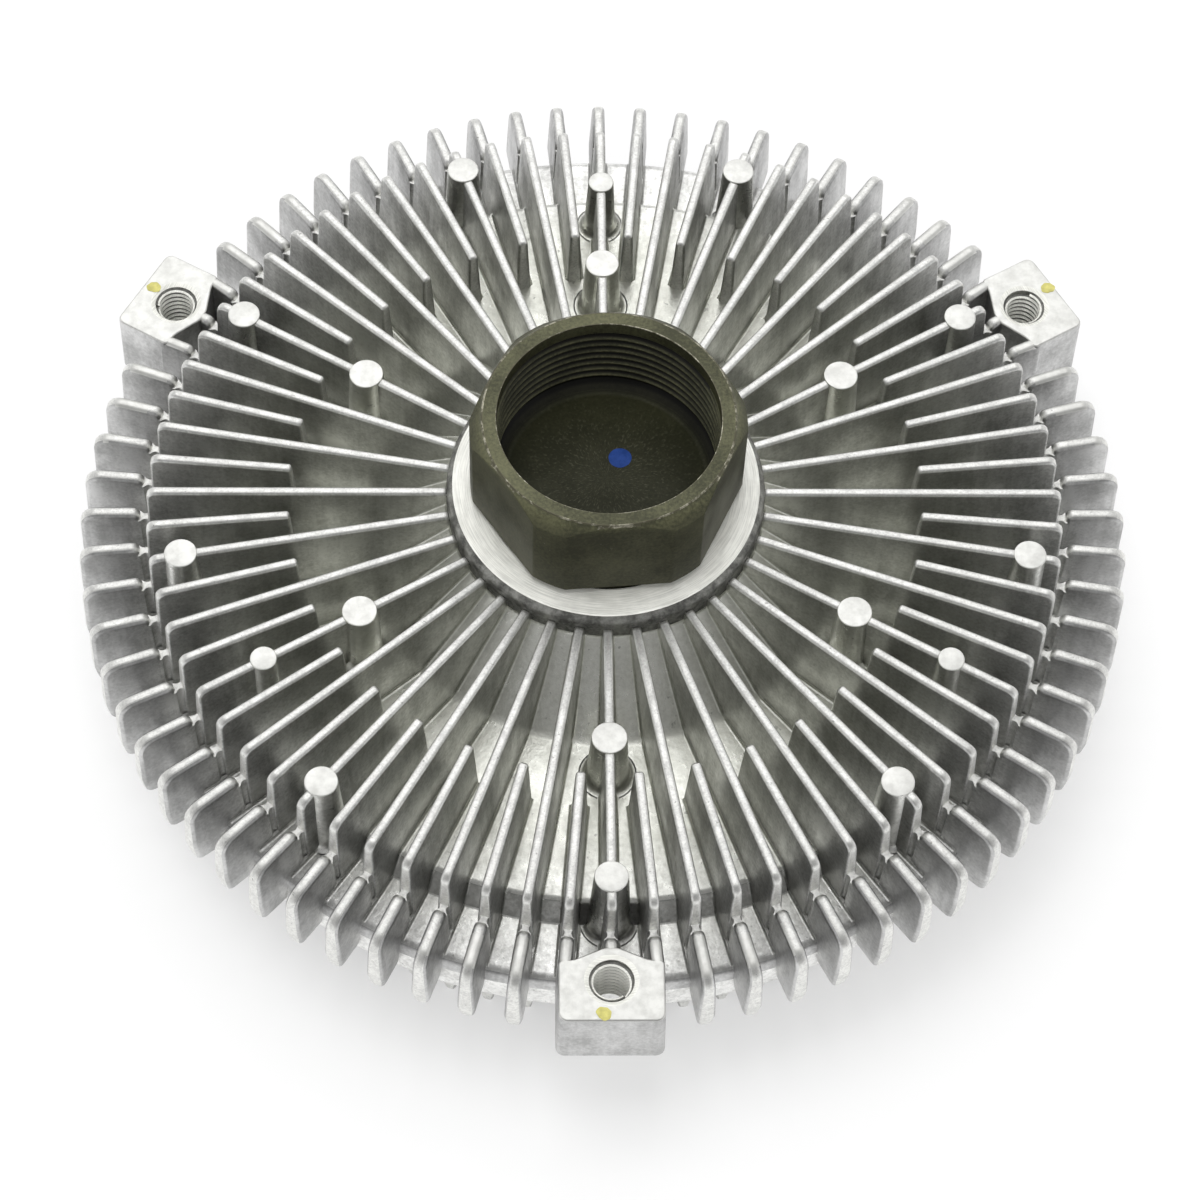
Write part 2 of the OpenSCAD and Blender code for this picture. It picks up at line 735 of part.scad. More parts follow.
module hub() {
    color(dark_steel_colour)
        difference() {
            union() {
                hub_head();
                hub_shaft();
            }
            rotate_extrude()
                polygon([
                    [0, socket_floor], [socket_floor_d / 2, socket_floor],
                    [relief_r, socket_floor + 1.2], [relief_r, relief_top - 0.6], [thread_r, relief_top],
                    [thread_r, hub_rise + 1], [0, hub_rise + 1]
                ]);
        }
}

// Section of one race with its ball groove
module race(in_r, out_r) {
    rotate_extrude()
        difference() {
            translate([in_r, bearing_bottom])
                square([out_r - in_r, bearing_w]);
            translate([ball_circle_r, bearing_mid])
                circle(r = groove_r);
        }
}

module bearing_outer_race() {
    step = seal_t + locate_gap;
    color(steel_colour)
        difference() {
            race(outer_land_r, bearing_d / 2);
            for (z = [bearing_bottom - 1, bearing_top - step])
                translate([0, 0, z])
                    cylinder(h = step + 1, r = seal_out_r);
        }
}

module bearing_inner_race() {
    color(steel_colour)
        race(bearing_bore_r + seat_gap, inner_land_r);
}

module ball_places() {
    for (k = [0 : ball_count - 1])
        rotate([0, 0, k * ball_angle])
            translate([ball_circle_r, 0, bearing_mid])
                children();
}

module bearing_balls() {
    color(steel_colour)
        ball_places()
            sphere(r = ball_r);
}

// Ring with a round pocket for each ball
module bearing_cage() {
    cage_t = 1.6;
    pocket_r = ball_r + 2 * locate_gap;
    half = pocket_r + 0.7;
    color(bimetal_colour)
        difference() {
            translate([0, 0, bearing_mid - half])
                difference() {
                    cylinder(h = 2 * half, r = ball_circle_r + cage_t / 2);
                    translate([0, 0, -1])
                        cylinder(h = 2 * half + 2, r = ball_circle_r - cage_t / 2);
                }
            ball_places()
                rotate([0, 90, 0])
                    cylinder(h = 4 * cage_t, r = pocket_r, center = true);
        }
}

// Sealing washer seated in the outer race, its lip running on the inner one
module bearing_seal(z) {
    color(rubber_colour)
        translate([0, 0, z])
            difference() {
                cylinder(h = seal_t, r = seal_out_r - seat_gap);
                translate([0, 0, -1])
                    cylinder(h = seal_t + 2, r = seal_in_r);
            }
}

module bearing_rear_seal() {
    bearing_seal(bearing_top - seal_t - locate_gap);
}

module bearing_front_seal() {
    bearing_seal(bearing_bottom + locate_gap);
}

// Open ring sprung into the groove in front of the bearing
module bearing_circlip() {
    ring_r = bearing_seat_r + circlip_groove - locate_gap;
    color(dark_steel_colour)
        translate([0, 0, circlip_bottom])
            difference() {
                cylinder(h = circlip_t, r = ring_r);
                translate([0, 0, -1])
                    cylinder(h = circlip_t + 2, r = ring_r - circlip_w);
                translate([0, -circlip_gap / 2, -1])
                    cube([2 * ring_r, circlip_gap, circlip_t + 2]);
            }
}

// Driven disc with concentric ridges on both faces
module rotor() {
    boss_r = rotor_boss_d / 2;
    color(cast_colour)
        difference() {
            rotate_extrude()
                polygon(concat(
                    [[rotor_bore_r + seat_gap, bearing_bottom], [boss_r, bearing_bottom]],
                    [[boss_r, web_top]],
                    reversed(ridges(web_top, ridge_top)),
                    ridges(web_bottom, ridge_bottom),
                    [[rotor_bore_r + seat_gap, web_bottom]]
                ));
            for (k = [0 : web_hole_count - 1])
                rotate([0, 0, k * 360 / web_hole_count])
                    translate([web_hole_circle_d / 2, 0, web_bottom - 1])
                        cylinder(h = rotor_web + 2, d = web_hole_d);
        }
}

// Steel plate between the chamber and the reservoir, with two feed ports
module partition_plate() {
    color(steel_colour)
        translate([0, 0, plate_bottom])
            difference() {
                cylinder(h = plate_t, r = plate_r);
                for (side = [0, 180])
                    rotate([0, 0, side])
                        translate([port_r, 0, -1])
                            cylinder(h = plate_t + 2, d = port_d);
            }
}

// Turned shaft that carries the arm inside and takes the bimetal in its slotted end
module valve_shaft() {
    head_r = shaft_r + 1.4;
    groove_in_r = shaft_r - shaft_seal_d;
    groove_half = shaft_seal_d / 2 + locate_gap;
    slot_w = strip_t + 2 * locate_gap;
    color(steel_colour)
        difference() {
            rotate_extrude()
                polygon([
                    [0, arm_top], [shaft_tip_r, arm_top], [shaft_tip_r, arm_bottom], [head_r, arm_bottom],
                    [head_r, guide_top + arm_gap], [shaft_r, guide_top + arm_gap],
                    [shaft_r, shaft_seal_z + groove_half], [groove_in_r, shaft_seal_z + groove_half],
                    [groove_in_r, shaft_seal_z - groove_half], [shaft_r, shaft_seal_z - groove_half],
                    [shaft_r, coil_bottom], [0, coil_bottom]
                ]);
            rotate([0, 0, bracket_angle])
                translate([-shaft_d, -slot_w / 2, coil_bottom - 1])
                    cube([2 * shaft_d, slot_w, strip_w + 1 + locate_gap]);
        }
}

// Two-ended arm whose paddles cover the ports when cold
module valve_arm() {
    paddle_d = port_d + 2.4;
    color(steel_colour)
        translate([0, 0, arm_bottom])
            difference() {
                union() {
                    cylinder(h = arm_t, d = 2 * arm_w);
                    translate([-port_r, -arm_w / 2, 0])
                        cube([2 * port_r, arm_w, arm_t]);
                    for (side = [-1, 1])
                        translate([side * port_r, 0, 0])
                            cylinder(h = arm_t, d = paddle_d);
                }
                translate([0, 0, -1])
                    cylinder(h = arm_t + 2, r = shaft_tip_r + seat_gap);
            }
}

// Rubber ring in the shaft's groove, just clear of the guide
module valve_shaft_seal() {
    ring_r = guide_r - 0.02 - shaft_seal_d / 2;
    color(rubber_colour)
        rotate_extrude()
            translate([ring_r, shaft_seal_z])
                circle(d = shaft_seal_d);
}

// Flat spiral strip, its inner end crossing the shaft's slot and its outer end in the bracket
module bimetal_coil() {
    steps = 24 * coil_turns;
    function spiral(offset) = [
        for (i = [0 : steps])
            let (t = i / 24 * 360, r = coil_in_r + coil_pitch * t / 360 + offset)
                r * [cos(t), sin(t)]
    ];
    color(bimetal_colour)
        rotate([0, 0, bracket_angle])
            translate([0, 0, coil_bottom]) {
                linear_extrude(height = strip_w)
                    polygon(concat(spiral(strip_t / 2), reversed(spiral(-strip_t / 2))));
                translate([-shaft_r, -strip_t / 2, 0])
                    cube([shaft_r + coil_in_r, strip_t, strip_w]);
                rotate([0, 0, 360 * coil_turns])
                    translate([coil_out_r, -strip_t / 2, 0])
                        cube([bracket_r + bracket_t - coil_out_r, strip_t, strip_w]);
            }
}

// Sheet bracket: a foot screwed to the nose and a slotted upright that holds the coil's end
module coil_bracket() {
    foot_l = 5.4;
    slot_w = strip_t + 2 * locate_gap;
    half = bracket_w / 2;
    color(steel_colour)
        rotate([0, 0, bracket_angle])
            difference() {
                union() {
                    translate([bracket_r, -half, nose_face - bracket_t])
                        cube([bracket_t + foot_l, bracket_w, bracket_t]);
                    translate([bracket_r, -half / 2, coil_bottom])
                        cube([bracket_t, half, nose_face - coil_bottom]);
                }
                translate([bracket_r - 1, -slot_w / 2, coil_bottom - 1])
                    cube([bracket_t + 2, slot_w, strip_w + 1 + locate_gap]);
                for (side = [-1, 1])
                    translate([bracket_r + bracket_t + 2.6, side * 2.8, nose_face - bracket_t - 1])
                        cylinder(h = bracket_t + 2, r = screw_d / 2 + locate_gap);
            }
}

// Round-headed screws with a plain slot
module bracket_screws() {
    head_z = nose_face - bracket_t - screw_head_h;
    slot_w = 0.7;
    color(steel_colour)
        bracket_places()
            difference() {
                rotate_extrude()
                    polygon(concat(
                        [[0, head_z], [screw_head_d / 2 - 0.6, head_z]],
                        [[screw_head_d / 2, head_z + 0.8], [screw_head_d / 2, nose_face - bracket_t]],
                        [[screw_d / 2, nose_face - bracket_t]],
                        [[screw_d / 2, nose_face - bracket_t + screw_l]],
                        [[0, nose_face - bracket_t + screw_l]]
                    ));
                translate([-screw_head_d, -slot_w / 2, head_z - 1])
                    cube([2 * screw_head_d, slot_w, 1.7]);
            }
}

rear_housing();
front_cover();
cover_seal();
fill_plug();
hub();
bearing_outer_race();
bearing_inner_race();
bearing_balls();
bearing_cage();
bearing_rear_seal();
bearing_front_seal();
bearing_circlip();
rotor();
partition_plate();
valve_shaft();
valve_arm();
valve_shaft_seal();
bimetal_coil();
coil_bracket();
bracket_screws();
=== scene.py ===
from math import cos, pi, radians, sin, tau

import bmesh
import bpy
from mathutils import Matrix, Vector


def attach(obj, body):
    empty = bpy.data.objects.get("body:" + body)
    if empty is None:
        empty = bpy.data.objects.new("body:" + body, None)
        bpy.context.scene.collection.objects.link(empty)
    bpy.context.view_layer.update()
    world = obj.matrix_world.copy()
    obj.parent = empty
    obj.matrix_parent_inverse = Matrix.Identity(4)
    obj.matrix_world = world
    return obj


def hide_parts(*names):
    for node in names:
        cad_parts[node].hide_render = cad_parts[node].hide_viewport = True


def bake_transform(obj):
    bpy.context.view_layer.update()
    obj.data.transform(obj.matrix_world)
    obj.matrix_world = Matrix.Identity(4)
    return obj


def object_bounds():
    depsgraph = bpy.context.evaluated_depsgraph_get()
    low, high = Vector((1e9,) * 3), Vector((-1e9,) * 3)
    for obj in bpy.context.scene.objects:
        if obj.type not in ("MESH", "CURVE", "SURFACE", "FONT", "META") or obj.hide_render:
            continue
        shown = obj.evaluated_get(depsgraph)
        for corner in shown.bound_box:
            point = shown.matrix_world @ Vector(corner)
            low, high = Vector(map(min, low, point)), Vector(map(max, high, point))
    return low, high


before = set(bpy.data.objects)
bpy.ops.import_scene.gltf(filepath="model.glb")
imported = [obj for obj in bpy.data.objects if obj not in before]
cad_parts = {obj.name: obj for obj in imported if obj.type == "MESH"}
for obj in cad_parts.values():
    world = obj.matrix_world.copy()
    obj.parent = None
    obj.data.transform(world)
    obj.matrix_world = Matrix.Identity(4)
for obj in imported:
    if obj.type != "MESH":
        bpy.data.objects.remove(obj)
cad_low, cad_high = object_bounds()

# Rear casting
# The finned half that carries the fan, one aluminium die casting. Every wall is drafted so that it left
# its die; the boss face, the ear faces and the tapped holes were machined afterwards.
MM = 0.001
boss_r = 22.9
boss_top = 7.9
floor_z = -5.05
ledge_z = -8.5
rim_r = 71.0
parting_z = -10.8
rim_bottom = -16.2
fin_top = 5.75
fin_half = 0.7
fin_draft = 0.0375
fin_end_r = 66.0
notch_z = -1.3
outer_start_r = 67.4
outer_end_r = 76.5
outer_bottom = -14.0
fin_pairs = 36
ear_angle = radians(-90)
ear_count = 3
corner_segments = 4
turning_steps = 288
skin_finish, milled_finish, turned_finish, side_finish, crest_finish, wall_finish, trimmed_finish = range(7)


def flat_outline(bm, corners):
    """A face in the radius-height plane, from (radius, height, rounding) corners."""
    verts = [bm.verts.new((r, 0, z)) for r, z, _ in corners]
    bm.faces.new(verts)
    for size in sorted({c[2] for c in corners if c[2]}):
        picked = [v for v, c in zip(verts, corners) if c[2] == size]
        bmesh.ops.bevel(bm, geom=picked, offset=size, segments=corner_segments,
                        profile=0.5, affect="VERTICES", material=-1)


def turned(corners, steps=turning_steps):
    """A solid of revolution about the axis, from a closed outline."""
    bm = bmesh.new()
    flat_outline(bm, corners)
    bmesh.ops.delete(bm, geom=bm.faces[:], context="FACES_ONLY")
    bmesh.ops.spin(bm, geom=bm.verts[:] + bm.edges[:], axis=(0, 0, 1), cent=(0, 0, 0),
                   dvec=(0, 0, 0), angle=tau, steps=steps, use_merge=True)
    bmesh.ops.remove_doubles(bm, verts=bm.verts, dist=1e-4)
    bmesh.ops.recalc_face_normals(bm, faces=bm.faces)
    return bm


def add(whole, part):
    """Moves the finished part into the whole and frees it."""
    mesh = bpy.data.meshes.new("part")
    part.to_mesh(mesh)
    whole.from_mesh(mesh)
    bpy.data.meshes.remove(mesh)
    part.free()


def repeat(bm, count, step):
    """Copies everything in the mesh round the axis, to count places a step apart."""
    geom = bm.verts[:] + bm.edges[:] + bm.faces[:]
    bmesh.ops.spin(bm, geom=geom, axis=(0, 0, 1), cent=(0, 0, 0), dvec=(0, 0, 0),
                   angle=step * (count - 1), steps=count - 1, use_duplicate=True)


def turn(bm, angle):
    bmesh.ops.rotate(bm, verts=bm.verts, cent=(0, 0, 0), matrix=Matrix.Rotation(angle, 3, "Z"))


def rear_half(z):
    """Half the thickness of a rear fin at a height: thickest at the parting line."""
    if z > parting_z:
        return fin_half + fin_draft * (fin_top - z)
    thickest = fin_half + fin_draft * (fin_top - parting_z)
    return thickest - 0.11 * (parting_z - z)


def fin(corners, half, seen, edge, cuts=()):
    """A drafted plate standing along a radius, with the edges that show rounded."""
    bm = bmesh.new()
    flat_outline(bm, corners)
    for where, way in [((0, 0, parting_z), (0, 0, 1))] + [((r, 0, 0), (1, 0, 0)) for r in cuts]:
        bmesh.ops.bisect_plane(bm, geom=bm.verts[:] + bm.edges[:] + bm.faces[:], dist=1e-4,
                               plane_co=where, plane_no=way)
    grown = bmesh.ops.extrude_face_region(bm, geom=bm.faces[:])["geom"]
    far_side = {v for v in grown if isinstance(v, bmesh.types.BMVert)}
    for v in bm.verts:
        v.co.y = half(v.co.z) if v in far_side else -half(v.co.z)
    bm.normal_update()
    rims = [e for e in bm.edges
            if e.verts[0].co.y * e.verts[1].co.y > 0 and all(seen(v.co.x, v.co.z) for v in e.verts)
            and e.calc_face_angle(0) > radians(60)]
    bmesh.ops.bevel(bm, geom=rims, offset=edge, segments=3, profile=0.5, affect="EDGES", material=-1)
    bmesh.ops.recalc_face_normals(bm, faces=bm.faces)
    for face in bm.faces:
        face.material_index = side_finish if abs(face.normal.y) > 0.6 else crest_finish
    return bm


def root_fillet(path, half, radius):
    """Fillets along both feet of a fin, as solid strips that follow the floor's line."""
    bm = bmesh.new()
    arc_steps = 4
    for side in (-1, 1):
        r0, z0 = path[0]
        corners = [(radius * (1 - cos(pi / 2 * k / arc_steps)), radius * (1 - sin(pi / 2 * k / arc_steps)))
                   for k in range(arc_steps + 1)]
        corners += [(radius, -0.4), (-0.4, -0.4), (-0.4, radius)]
        ring = [bm.verts.new((r0, side * (half(z0) + y), z0 + z)) for y, z in corners]
        end = bm.faces.new(ring)
        for (r, z), (next_r, next_z) in zip(path, path[1:]):
            grown = bmesh.ops.extrude_face_region(bm, geom=[end])["geom"]
            verts = [v for v in grown if isinstance(v, bmesh.types.BMVert)]
            end = next(f for f in grown if isinstance(f, bmesh.types.BMFace))
            shift = (next_r - r, side * (half(next_z) - half(z)), next_z - z)
            bmesh.ops.translate(bm, vec=shift, verts=verts)
    bmesh.ops.recalc_face_normals(bm, faces=bm.faces)
    return bm


# Outside of the casting from the boss to the rolled lip, then the chamber, the lands and the bearing seat
mouth_r = 17.5
boss_face_r = 22.0
cone_top = 3.6
cone_foot_r = 35.2
step_out_r = 62.2
parting_step = 0.3
lip_in_r = 66.0
outside = [
    (mouth_r, boss_top, 0.3), (boss_face_r, boss_top, 0.2), (boss_r, 7.0, 0.4), (boss_r, cone_top, 0.5),
    (cone_foot_r, floor_z, 0.9), (59.98, floor_z, 0.6), (step_out_r, ledge_z, 0.25), (rim_r, ledge_z, 1.5),
    (rim_r, parting_z + 0.8, 0.3), (rim_r + parting_step, parting_z - 0.2, 0.3),
    (rim_r + parting_step, rim_bottom, 1.4), (lip_in_r, rim_bottom, 0.3),
]
seat_r = 68.0
lip_z = -14.7
seam_z = -11.7
chamber_r = 59.4
chamber_top = -8.65
cover_seat = [(lip_in_r, lip_z, 0), (seat_r, lip_z, 0), (seat_r, seam_z, 0), (chamber_r, seam_z, 0),
              (chamber_r, chamber_top, 0)]
land_radii = (56.6, 52.4, 48.2, 44.0, 39.8)
land_w = 1.6
land_tip = -12.25
lands = []
for out_r in land_radii:
    lands += [(out_r, chamber_top, 0), (out_r, land_tip, 0), (out_r - land_w, land_tip, 0),
              (out_r - land_w, chamber_top, 0)]
sleeve_r = 23.21
sleeve_end = -12.0
bearing_r = 20.01
bearing_top = 2.7
bearing_bottom = -9.3
circlip_r = 20.91
circlip_z = -10.5
bearing_seat = [
    (34.06, chamber_top, 0), (24.41, -1.86, 0), (23.81, -1.86, 0), (sleeve_r, -2.46, 0),
    (sleeve_r, sleeve_end, 0), (bearing_r, sleeve_end, 0), (bearing_r, circlip_z, 0),
    (circlip_r, circlip_z, 0), (circlip_r, bearing_bottom, 0), (bearing_r, bearing_bottom, 0),
    (bearing_r, bearing_top, 0), (mouth_r, bearing_top, 0),
]
casting = turned(outside + cover_seat + lands + bearing_seat)

# Inner fins: long ones from the boss, short ones between them, all ending at the notch
inner_edge = 0.46
outer_edge = 0.66
fillet_r = 0.4
web_foot = -10.1
buried_foot = -6.85
fin_foot = [(66.3, web_foot, 0), (61.2, web_foot, 0), (chamber_r, buried_foot, 0)]
fin_crest = [(fin_end_r, fin_top, 1.4), (66.3, -2.2, 0)]
past_step = [(59.7, floor_z), (60.25, -5.5), (62.15, ledge_z), (70.2, ledge_z)]


def inner_fin_seen(r, z):
    return z > -7.0


for start, first, path_start in (
    ([(34.2, -6.5, 0), (21.9, 2.1, 0), (21.9, 4.9, 0), (23.0, fin_top, 0.5)], 0,
     [(22.4, 3.9), (cone_foot_r, floor_z)]),
    ([(44.9, buried_foot, 0), (45.5, fin_top, 0.5)], pi / fin_pairs, [(45.4, floor_z)]),
):
    row = fin(fin_crest + fin_foot + start, rear_half, inner_fin_seen, inner_edge)
    add(row, root_fillet(path_start + past_step, rear_half, fillet_r))
    turn(row, ear_angle + first)
    repeat(row, fin_pairs, tau / fin_pairs)
    add(casting, row)

# Notch: a low web joins each inner fin to its outer one, waisted where the die's two halves met
notch_mid = (fin_end_r + outer_start_r) / 2
notch_reach = 0.75
waist = 0.48
notch_steps = [notch_mid + 0.25 * k for k in range(-3, 4)]
notch = fin([(65.6, notch_z, 0), (67.9, notch_z, 0), (67.9, web_foot, 0), (65.6, web_foot, 0)],
            lambda z: rear_half(z) - 0.03, lambda r, z: z > -2.0, 0.2, cuts=notch_steps)
for v in notch.verts:
    v.co.y *= 1 - waist * max(0.0, 1 - ((v.co.x - notch_mid) / notch_reach) ** 2)
for face in notch.faces:
    if face.normal.z > 0.5:
        face.material_index = trimmed_finish
turn(notch, ear_angle)
repeat(notch, 2 * fin_pairs, pi / fin_pairs)
add(casting, notch)

# Outer fins, standing past the rim everywhere but at the ears
outer_foot = -9.6
outer_root_r = 69.5
outer_row = fin(
    [(outer_start_r, 0, 1.2), (76.1, 0, 2.4), (outer_end_r, -9.5, 0.8), (75.9, outer_bottom, 1.2),
     (outer_root_r, outer_bottom, 0), (outer_root_r, outer_foot, 0), (outer_start_r, outer_foot, 0)],
    rear_half, lambda r, z: z > -9.7 or r > 71.5, outer_edge, cuts=[outer_root_r])
between_ears = 2 * fin_pairs // ear_count - 3
turn(outer_row, ear_angle + tau / fin_pairs)
repeat(outer_row, between_ears, pi / fin_pairs)
repeat(outer_row, ear_count, tau / ear_count)
add(casting, outer_row)

# Ejector pads: drafted posts that the die's pins pushed on, flat and rough on top
pad_top = 5.95
pad_draft = 0.05
for count, first, circle_r, top_r, foot_z in (
    (6, 30, 40.3, 2.5, floor_z), (9, 30, 61.45, 2.35, ledge_z), (3, 90, 55.55, 1.9, floor_z)
):
    foot_r = top_r + pad_draft * (pad_top - foot_z)
    skirt_r = foot_r + 1.1
    pad = turned([(0, pad_top, 0), (top_r, pad_top, 0.15), (foot_r, foot_z, 0.9), (skirt_r, foot_z, 0),
                  (skirt_r, foot_z - 0.1, 0), (0, foot_z - 0.1, 0)], steps=32)
    bmesh.ops.translate(pad, vec=(circle_r, 0, 0), verts=pad.verts)
    turn(pad, radians(first))
    repeat(pad, count, tau / count)
    add(casting, pad)

# Ears: blocks cast on the rim, milled flat on top, drilled, countersunk and tapped
hole_r = 74.0
ear_depth = 11.3
ear_half_w = 7.2
ear_out_r = 80.2
ear_in_r = 71.0
ear_tip_r = 69.1
ear_draft = 0.2
thread_root_r = 3.0
thread_crest_r = 2.5
sink_r = 3.7
sink_slope = 1.73


def helix(root_r, crest_r, pitch, low, high, steps):
    """The ridge of an internal thread, wound from one height to another."""
    bm = bmesh.new()
    sunk_r = root_r + 0.02
    flank_r = (sunk_r + crest_r) / 2
    ring = [(sunk_r, -0.42), (flank_r, -0.245), (crest_r, -0.07), (crest_r, 0.07), (flank_r, 0.245),
            (sunk_r, 0.42)]
    face = bm.faces.new([bm.verts.new((r, 0, low + pitch * z)) for r, z in ring])
    turns = (high - low) / pitch
    bmesh.ops.spin(bm, geom=[face], axis=(0, 0, 1), cent=(0, 0, 0), dvec=(0, 0, pitch / steps),
                   angle=tau * turns, steps=round(steps * turns))
    bmesh.ops.recalc_face_normals(bm, faces=bm.faces)
    return bm


def hole_ring(bm, radius, z):
    ring = bmesh.ops.create_circle(bm, segments=48, radius=radius)["verts"]
    bmesh.ops.translate(bm, vec=(hole_r, 0, z), verts=ring)
    return list({e for v in ring for e in v.link_edges})


ear = bmesh.new()
plan = [(ear_tip_r, 0.8, 0.5), (ear_tip_r, -0.8, 0.5), (ear_in_r, -5.2, 0.6), (ear_in_r, -ear_half_w, 0.7),
        (ear_out_r - ear_draft, -ear_half_w, 1.2), (ear_out_r - ear_draft, ear_half_w, 1.2),
        (ear_in_r, ear_half_w, 0.7), (ear_in_r, 5.2, 0.6)]
flat_outline(ear, plan)
bmesh.ops.rotate(ear, verts=ear.verts, cent=(0, 0, 0), matrix=Matrix.Rotation(radians(-90), 3, "X"))
bmesh.ops.delete(ear, geom=ear.faces[:], context="FACES_ONLY")
top_edges = ear.edges[:]
grown = bmesh.ops.extrude_edge_only(ear, edges=top_edges)["geom"]
foot_edges = [g for g in grown if isinstance(g, bmesh.types.BMEdge)]
for v in {v for e in foot_edges for v in e.verts}:
    v.co = (v.co.x + (ear_draft if v.co.x > hole_r else 0.0), v.co.y * 1.04, -ear_depth)
sink_z = -(sink_r - thread_root_r) / sink_slope
foot_bevel = 0.4
rings = [hole_ring(ear, r, z) for r, z in (
    (sink_r, 0), (thread_root_r, sink_z), (thread_root_r, -ear_depth + foot_bevel),
    (thread_root_r + foot_bevel, -ear_depth))]
bmesh.ops.bridge_loops(ear, edges=top_edges + rings[0])
for upper, lower in zip(rings, rings[1:]):
    bmesh.ops.bridge_loops(ear, edges=upper + lower)
bmesh.ops.bridge_loops(ear, edges=foot_edges + rings[-1])
bmesh.ops.recalc_face_normals(ear, faces=ear.faces)
for edges, edge in ((top_edges, 0.3), (rings[0] + rings[1], 0.12)):
    bmesh.ops.bevel(ear, geom=edges, offset=edge, segments=3, profile=0.5, affect="EDGES", material=-1)
for face in ear.faces:
    middle = face.calc_center_median()
    from_hole = (middle.xy - Vector((hole_r, 0))).length
    # The bore takes the dark wall finish, painted shade.
    if from_hole < thread_root_r + 0.1:
        face.material_index = wall_finish
    elif from_hole < sink_r and middle.z > -2.0:
        face.material_index = turned_finish
    elif abs(face.normal.z) < 0.5:
        face.material_index = side_finish
# The thread's crest half takes the bright turned finish; its root half takes the dark wall finish as painted
# shade.
thread = helix(thread_root_r, thread_crest_r, 1.0, -10.7, -0.6, 24)
for face in thread.faces:
    near_crest = face.calc_center_median().xy.length < (thread_root_r + thread_crest_r) / 2
    face.material_index = turned_finish if near_crest else wall_finish
bmesh.ops.translate(thread, vec=(hole_r, 0, 0), verts=thread.verts)
add(ear, thread)
for offset, end_r in ((-pi / fin_pairs, 73.0), (0, 69.8), (pi / fin_pairs, 73.0)):
    rib = fin([(outer_start_r, -0.02, 1.2), (end_r, -0.02, 0), (end_r, outer_foot, 0),
               (outer_start_r, outer_foot, 0)], rear_half, lambda r, z: z > -9.7, outer_edge)
    turn(rib, offset)
    add(ear, rib)
turn(ear, ear_angle)
repeat(ear, ear_count, tau / ear_count)
add(casting, ear)


def piece(bm, name, body, node, materials):
    """Makes the finished mesh an object in metres, riding on a body if it has one, in place of its solid."""
    bmesh.ops.scale(bm, vec=(MM, MM, MM), verts=bm.verts)
    mesh = bpy.data.meshes.new(name)
    bm.to_mesh(mesh)
    bm.free()
    for material in materials:
        mesh.materials.append(material)
    mesh.shade_smooth()
    mesh.set_sharp_from_angle(angle=radians(38))
    obj = bpy.data.objects.new(name, mesh)
    bpy.context.scene.collection.objects.link(obj)
    evened = obj.modifiers.new("even_shading", "WEIGHTED_NORMAL")
    evened.keep_sharp = True
    if body:
        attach(obj, body)
    if node:
        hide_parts(node)
    return obj


class Graph:
    """A material's node tree, with short calls for the nodes that these finishes use."""

    def __init__(self, name):
        self.material = bpy.data.materials.new(name)
        self.material.use_nodes = True
        self.tree = self.material.node_tree
        self.shader = self.tree.nodes["Principled BSDF"]
        self.place = self.node("ShaderNodeTexCoord").outputs["Object"]

    def node(self, kind, **sockets):
        made = self.tree.nodes.new(kind)
        for key, value in sockets.items():
            self.put(made.inputs[key.replace("_", " ")], value)
        return made

    def put(self, socket, value):
        if isinstance(value, bpy.types.NodeSocket):
            self.tree.links.new(value, socket)
        else:
            socket.default_value = value

    def rings(self, density):
        """Uneven rings about the axis, by the distance from it."""
        made = self.node("ShaderNodeTexNoise", Scale=1.0, Detail=2.0)
        made.noise_dimensions = "1D"
        self.put(made.inputs["W"], self.math("MULTIPLY", self.radius(), density))
        return made.outputs[0]

    def rays(self, count, density):
        """Broken streaks: out from the axis with a high count, round it with a high density."""
        way = self.vector("NORMALIZE", self.flat())["Vector"]
        along = self.node("ShaderNodeCombineXYZ", Z=self.math("MULTIPLY", self.radius(), density))
        spot = self.vector("ADD", self.vector("MULTIPLY", way, [count] * 3)["Vector"], along.outputs[0])
        return self.node("ShaderNodeTexNoise", Vector=spot["Vector"], Scale=1.0, Detail=2.0).outputs["Fac"]

    def noise(self, scale, detail=4.0, roughness=0.55, stretch=(1, 1, 1)):
        mapped = self.node("ShaderNodeMapping", Vector=self.place, Scale=stretch)
        made = self.node("ShaderNodeTexNoise", Vector=mapped.outputs[0], Scale=scale, Detail=detail,
                         Roughness=roughness)
        return made.outputs["Fac"]

    def span(self, value, low, high, to_low=0.0, to_high=1.0):
        made = self.node("ShaderNodeMapRange", Value=value, From_Min=low, From_Max=high,
                         To_Min=to_low, To_Max=to_high)
        return made.outputs["Result"]

    def math(self, kind, a, b):
        made = self.node("ShaderNodeMath")
        made.operation = kind
        self.put(made.inputs[0], a)
        self.put(made.inputs[1], b)
        return made.outputs[0]

    def mix(self, share, a, b):
        made = self.node("ShaderNodeMix")
        made.data_type = "RGBA"
        self.put(made.inputs["Factor"], share)
        self.put(made.inputs["A"], a)
        self.put(made.inputs["B"], b)
        return made.outputs["Result"]

    def vector(self, kind, a, b=(0, 0, 0)):
        made = self.node("ShaderNodeVectorMath")
        made.operation = kind
        self.put(made.inputs[0], a)
        self.put(made.inputs[1], b)
        return made.outputs

    def flat(self):
        """Place seen along the clutch's axis."""
        return self.vector("MULTIPLY", self.place, (1, 1, 0))["Vector"]

    def radius(self):
        """Distance from the clutch's axis, in metres."""
        return self.vector("LENGTH", self.flat())["Value"]

    def bump(self, height, strength, depth):
        made = self.node("ShaderNodeBump", Height=height, Strength=strength, Distance=depth)
        self.put(self.shader.inputs["Normal"], made.outputs[0])

    def set(self, **sockets):
        for key, value in sockets.items():
            self.put(self.shader.inputs[key.replace("_", " ")], value)
        return self.material


